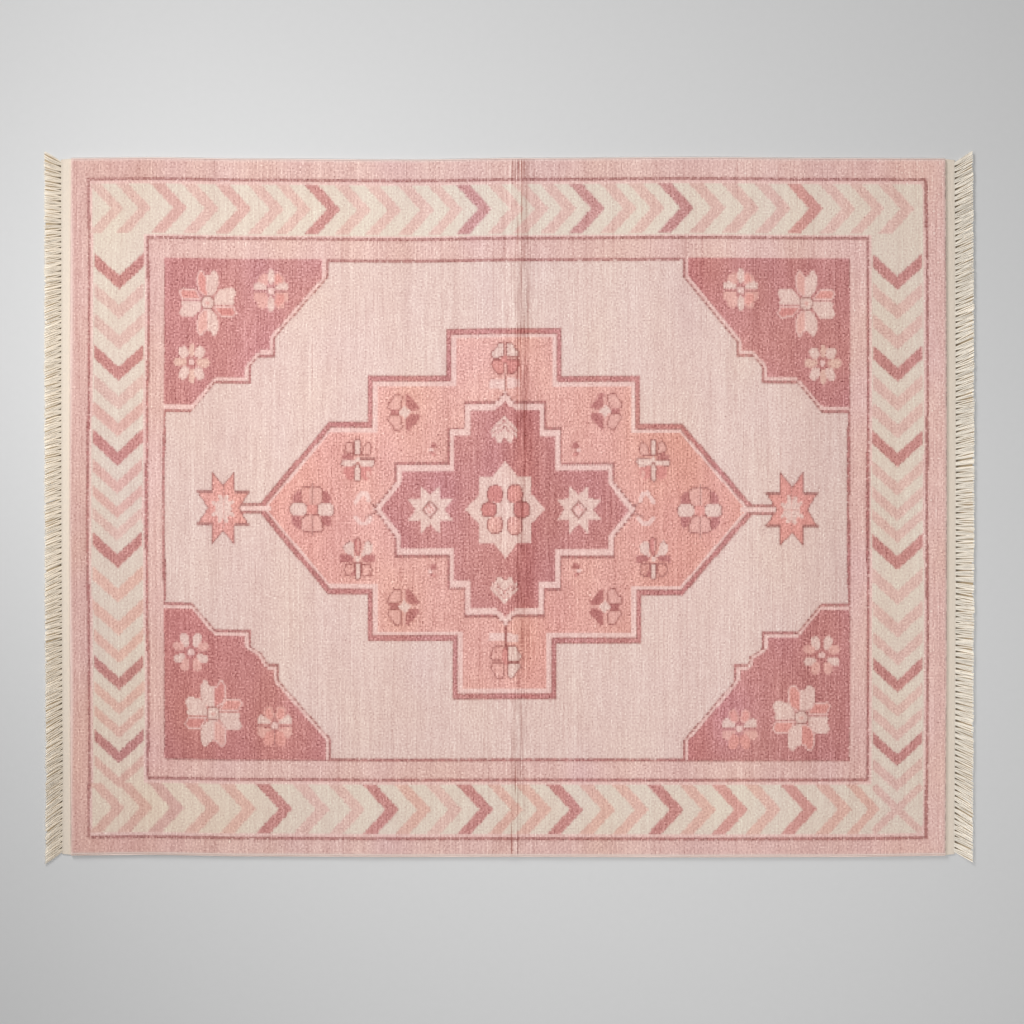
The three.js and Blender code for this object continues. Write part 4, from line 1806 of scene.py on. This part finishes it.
@dataclass
class Fringe:
    """The fringe of one end: locks of loose warp strands that fan out from the band, over short ends.

    Shares of a strand's length and the tones or heights there stand in pairs of tuples. A jitter is the spread
    of a random difference between locks, clumps or strands.
    """

    end: End
    locks: int = 120
    clumps: int = 3
    strands: int = 3
    span: float = 2418.0
    steps: int = 8
    sides: int = 4
    root_half: float = 4.0
    clump_pitch: float = 7.7
    root_spread: float = 1.05
    tip_spread: float = 1.75
    radius: float = 1.2
    root_inset: float = 4.0
    root_lift: float = 0.5
    middle_lift: float = 1.2
    hump: Point = (0.9, 0.5)
    clump_jitter: Point = (0.3, 1.1)
    sway: float = 2.8
    sway_blur: float = 1.6
    lock_jitter: Point = (1.7, 0.8)
    strand_jitter: Point = (0.45, 0.6)
    strand_short: Point = (-0.4, 0.8)
    radius_jitter: Point = (0.06, 0.08)
    tone_jitter: Point = (0.045, 0.05)
    wide_gap: float = 1.5
    curl: float = 0.8
    curl_turns: float = 0.9
    lean_power: float = 1.1
    floor_gap: float = 0.05
    under_flat: float = 10.0
    under_half: tuple[Point, Point] = ((5.6, 3.2), (7.6, 5.2))
    under_lift: Triple = (0.1, 0.3, 0.3)
    under_short: Point = (1, 7)
    # Painted shade: shade darkens the flat ends in the wide gaps at the roots, and under with its tones darkens
    # them beneath the strands.
    shade: Colour = (70, 57, 44)
    shade_end: float = 0.37
    # Painted highlight and shade along the strands: the tip colour and the tones pale them towards the tips and
    # darken them at the roots.
    tip: Colour = (246, 239, 226)
    under: Colour = (172, 153, 126)
    under_shade_tone: tuple[Point, Point] = ((0.3, 1), (0.95, 1.4))
    tone_at: tuple[float, ...] = (0, 0.12, 0.35, 0.75, 1)
    tone: tuple[float, ...] = (0.86, 0.9, 0.95, 1.02, 1.08)
    tip_highlight: tuple[Point, Point] = ((0.6, 1), (0, 0.6))

    def tubes(self, strands: Strands) -> tuple[Array, Array]:
        """Carries a small section along many curved paths at once.

        A path leaves the band at its root. Across the rug it gains its fan, quickly at first, and its lean,
        nearly evenly. It curls a little from side to side, the more the further out. Its height eases from
        the root's to the middle's and on to the tip's.

        Args:
            strands: The strands.

        Returns:
            The points, and the four-cornered faces of the skins and of the ends.
        """
        count, side = len(strands.root), self.end.side
        s = np.linspace(0, 1, self.steps + 1)
        root_x, root_y = FORM.lie(np.full(count, side * FORM.pile_length / 2), strands.root)
        base = root_x + side * (FORM.gap + self.end.width(root_y) - self.root_inset)
        x = base[:, None] + side * s * (strands.length + self.root_inset)[:, None]
        fan = strands.fan[:, None] * (1 - (1 - s) ** self.end.fan)
        y = root_y[:, None] + fan + strands.lean[:, None] * s**self.lean_power
        phase = 2 * math.pi * strands.phase[:, None]
        y += self.curl * s * (np.sin(2 * math.pi * self.curl_turns * s + phase) - np.sin(phase))
        thick = strands.radius[0][:, None] * (1 - s) + strands.radius[1][:, None] * s
        low, middle, high = strands.lift[..., None]
        z = thick + low * (1 - s) ** 2 + 2 * middle * s * (1 - s) + high * s**2
        turn = section_turns(self.sides)
        out_y = y[..., None] + thick[..., None] * np.cos(turn) * strands.flat
        out_z = np.maximum(z[..., None] + thick[..., None] * np.sin(turn), self.floor_gap)
        points = np.stack([np.broadcast_to(x[..., None], out_y.shape), out_y, out_z], axis=3).reshape(-1, 3)
        faces = np.concatenate(tube_faces(count, self.steps + 1, self.sides))
        return points, faces[:, ::side]

    def pale_strands(self, rng: np.random.Generator) -> tuple[Strands, tuple[Array, ...]]:
        """Lays the clumps of every lock and the strands of every clump, each a little unevenly.

        Args:
            rng: The source of the unevenness.

        Returns:
            The strands, and the clumps' roots, fans, leans and reaches.
        """
        lock = self.span * ((np.arange(self.locks) + 0.5) / self.locks - 0.5)
        share = np.linspace(-1, 1, self.clumps)
        shape = (self.locks, self.clumps)
        middle = (lock[:, None] + share * self.root_half + rng.normal(0, self.clump_jitter[0], shape)).ravel()
        fan = share * (self.clump_pitch - self.root_half) + rng.normal(0, self.clump_jitter[1], shape)
        fan = fan.ravel()
        sway = blurred(rng.standard_normal(self.locks), self.sway_blur, 0) * self.sway
        sway += rng.normal(0, self.lock_jitter[0], self.locks)
        lean = np.repeat(self.end.lean(lock) + sway, self.clumps)
        reach = np.repeat(self.end.reach + rng.normal(0, self.lock_jitter[1], self.locks), self.clumps)
        within = np.linspace(-1, 1, self.strands)
        each = (len(middle), self.strands)
        spread = within * (self.tip_spread - self.root_spread) + rng.normal(0, self.strand_jitter[0], each)
        length = reach[:, None] + rng.normal(*self.strand_short, each)
        hump = (self.hump[0] * (1 - within**2) + rng.uniform(0, self.hump[1], each)).ravel()
        count = hump.size
        strands = Strands(
            (middle[:, None] + within * self.root_spread).ravel(),
            (fan[:, None] + spread).ravel(),
            np.repeat(lean, self.strands) + rng.normal(0, self.strand_jitter[1], count),
            length.ravel(),
            np.stack([np.full(count, self.root_lift), self.middle_lift + hump, self.end.tip_lift + hump]),
            np.stack([rng.normal(self.radius, jitter, count) for jitter in self.radius_jitter]),
            rng.uniform(0, 1, count),
        )
        return strands, (middle, fan, lean, reach)

    def build(self, look: Look) -> Piece:
        """Makes the fringe: clumps of pale strands in every lock, over flat ends painted darker as the shade
        beneath them.

        Args:
            look: The cotton's material.

        Returns:
            The fringe.
        """
        rng = np.random.default_rng(SEED + 10 + self.end.side)
        strands, clumps = self.pale_strands(rng)
        pale, pale_faces = self.tubes(strands)
        wide = np.diff(clumps[0])
        gap = wide > self.wide_gap * np.median(wide)
        root, fan, lean, reach = ((each[:-1] + each[1:]) / 2 for each in clumps)
        reach -= rng.uniform(*self.under_short, len(wide))
        lift = np.tile(np.array(self.under_lift)[:, None], len(wide))
        radius = np.stack([np.where(gap, *half) for half in self.under_half]) / self.under_flat
        dark, dark_faces = self.tubes(
            Strands(root, fan, lean, reach, lift, radius, np.zeros(len(wide)), self.under_flat)
        )
        faces = np.concatenate([pale_faces, dark_faces + len(pale)])
        piece = make_object(f"fringe_{self.end.name}", np.concatenate([pale, dark]), [faces])
        s = np.linspace(0, 1, self.steps + 1)
        clump_tone = np.repeat(1 + rng.normal(0, self.tone_jitter[0], len(clumps[0])), self.strands)
        tone = clump_tone * (1 + rng.normal(0, self.tone_jitter[1], len(clump_tone)))
        # Painted highlight towards the tips and painted shade at the roots.
        tip_highlight = np.interp(s, *self.tip_highlight)[:, None]
        cotton = linear(self.end.cotton) * (1 - tip_highlight) + linear(self.tip) * tip_highlight
        pale_colour = cotton * (tone[:, None] * np.interp(s, self.tone_at, self.tone))[..., None]
        # Painted shade: the flat ends darker beneath the strands and darkest in the wide gaps at the roots.
        fade = (np.clip(1 - s / self.shade_end, 0, 1) * gap[:, None])[..., None]
        dark_colour = linear(self.under) * np.interp(s, *self.under_shade_tone)[:, None]
        dark_colour = dark_colour + fade * (linear(self.shade) - linear(self.under))
        colours = np.concatenate([pale_colour.reshape(-1, 3), dark_colour.reshape(-1, 3)])
        colour_piece(piece, Domain.POINT, np.repeat(colours, self.sides, axis=0))
        return dress(piece, look, f"end_fringe_{self.end.name}")


@dataclass(frozen=True)
class Softbox:
    """A square lamp: its place, the point it faces, both in metres, its side and its power in watts."""

    name: str
    place: Triple
    target: Triple
    side: float
    power: float

    def build(self) -> None:
        """Hangs the lamp, out of the camera's sight."""
        data = bpy.data.lights.new(self.name, "AREA")
        data.shape = "SQUARE"
        data.size = self.side
        data.energy = self.power
        lamp = bpy.data.objects.new(self.name, data)
        lamp.location = self.place
        lamp.rotation_euler = (Vector(self.target) - Vector(self.place)).to_track_quat("-Z", "Y").to_euler()
        lamp.visible_camera = False
        bpy.context.scene.collection.objects.link(lamp)


@dataclass(frozen=True)
class Studio:
    """The pale floor, the soft lights and the camera straight above, in metres."""

    floor_half: float = 9.0
    lens: float = 85.0
    sensor: float = 36.0
    frame_width: float = 3.572
    centre: Point = (0.0129, -0.0162)
    rug_top: float = 0.01
    sky: float = 0.095

    def build(self) -> None:
        """Makes the camera, the floor and the lights."""
        self.camera()
        self.floor()
        self.lights()

    def camera(self) -> None:
        """Sets a camera that looks straight down, so far up that its frame is frame_width wide on the rug."""
        data = bpy.data.cameras.new("camera")
        data.lens = self.lens
        data.sensor_width = self.sensor
        data.sensor_fit = "HORIZONTAL"
        camera = bpy.data.objects.new("camera", data)
        distance = self.frame_width * self.lens / self.sensor
        camera.location = (*self.centre, distance + self.rug_top)
        data.clip_end = 100.0
        bpy.context.scene.collection.objects.link(camera)
        bpy.context.scene.camera = camera

    def floor(self) -> None:
        """Makes the floor, a large level plane."""
        half = self.floor_half / MM
        points = np.array([(-half, -half, 0), (half, -half, 0), (half, half, 0), (-half, half, 0)], float)
        floor = make_object("floor", points, [np.array([[0, 1, 2, 3]])], smooth=False)
        floor.data.materials.append(STUDIO_FLOOR.build())

    def lights(self) -> None:
        """Makes a pale sky all round, a key lamp, a large lamp overhead and a wide one far off, back left."""
        scene = bpy.context.scene
        world = bpy.data.worlds.new("sky")
        world.use_nodes = True
        sky = world.node_tree.nodes["Background"]
        sky.inputs["Color"].default_value = (1.0, 1.0, 1.0, 1.0)
        sky.inputs["Strength"].default_value = self.sky
        scene.world = world
        Softbox("key", (-1.62, 0.45, 1.87), (1.15, 1.2, 0.0), 0.9, 19.2).build()
        Softbox("overhead", (0.66, -0.95, 4.94), (0.33, -0.475, 0.0), 1.4, 143.0).build()
        Softbox("window", (-6.5, 10.5, 5.2), (0.0, 0.0, 0.0), 4.0, 1224.0).build()
        scene.view_settings.view_transform = "Standard"


def main() -> None:
    """Builds the studio and then the rug, piece by piece."""
    logging.basicConfig(level=logging.INFO, format="%(name)s: %(message)s")
    Studio().build()
    noise = PileNoise()
    colours = WearAndPaintedLight().colours(knot_chart(), noise)
    strips = Pile(noise).build(CUT_PILE.build(), colours)
    foundation = Foundation().build(WOVEN_BACK.build(), colours)
    selvedges = [
        Selvedge("selvedge_back", 1).build(OVERCAST_BACK_PAINTED_DARKER.build()),
        Selvedge("selvedge_front", -1).build(OVERCAST_FRONT_PAINTED_LIGHTER.build()),
    ]
    weave, cotton = FLAT_WEAVE.build(), LOOSE_COTTON.build()
    bands = [EndBand(end).build(weave) for end in ENDS]
    fringes = [Fringe(end).build(cotton) for end in ENDS]


if __name__ == "__main__":
    main()
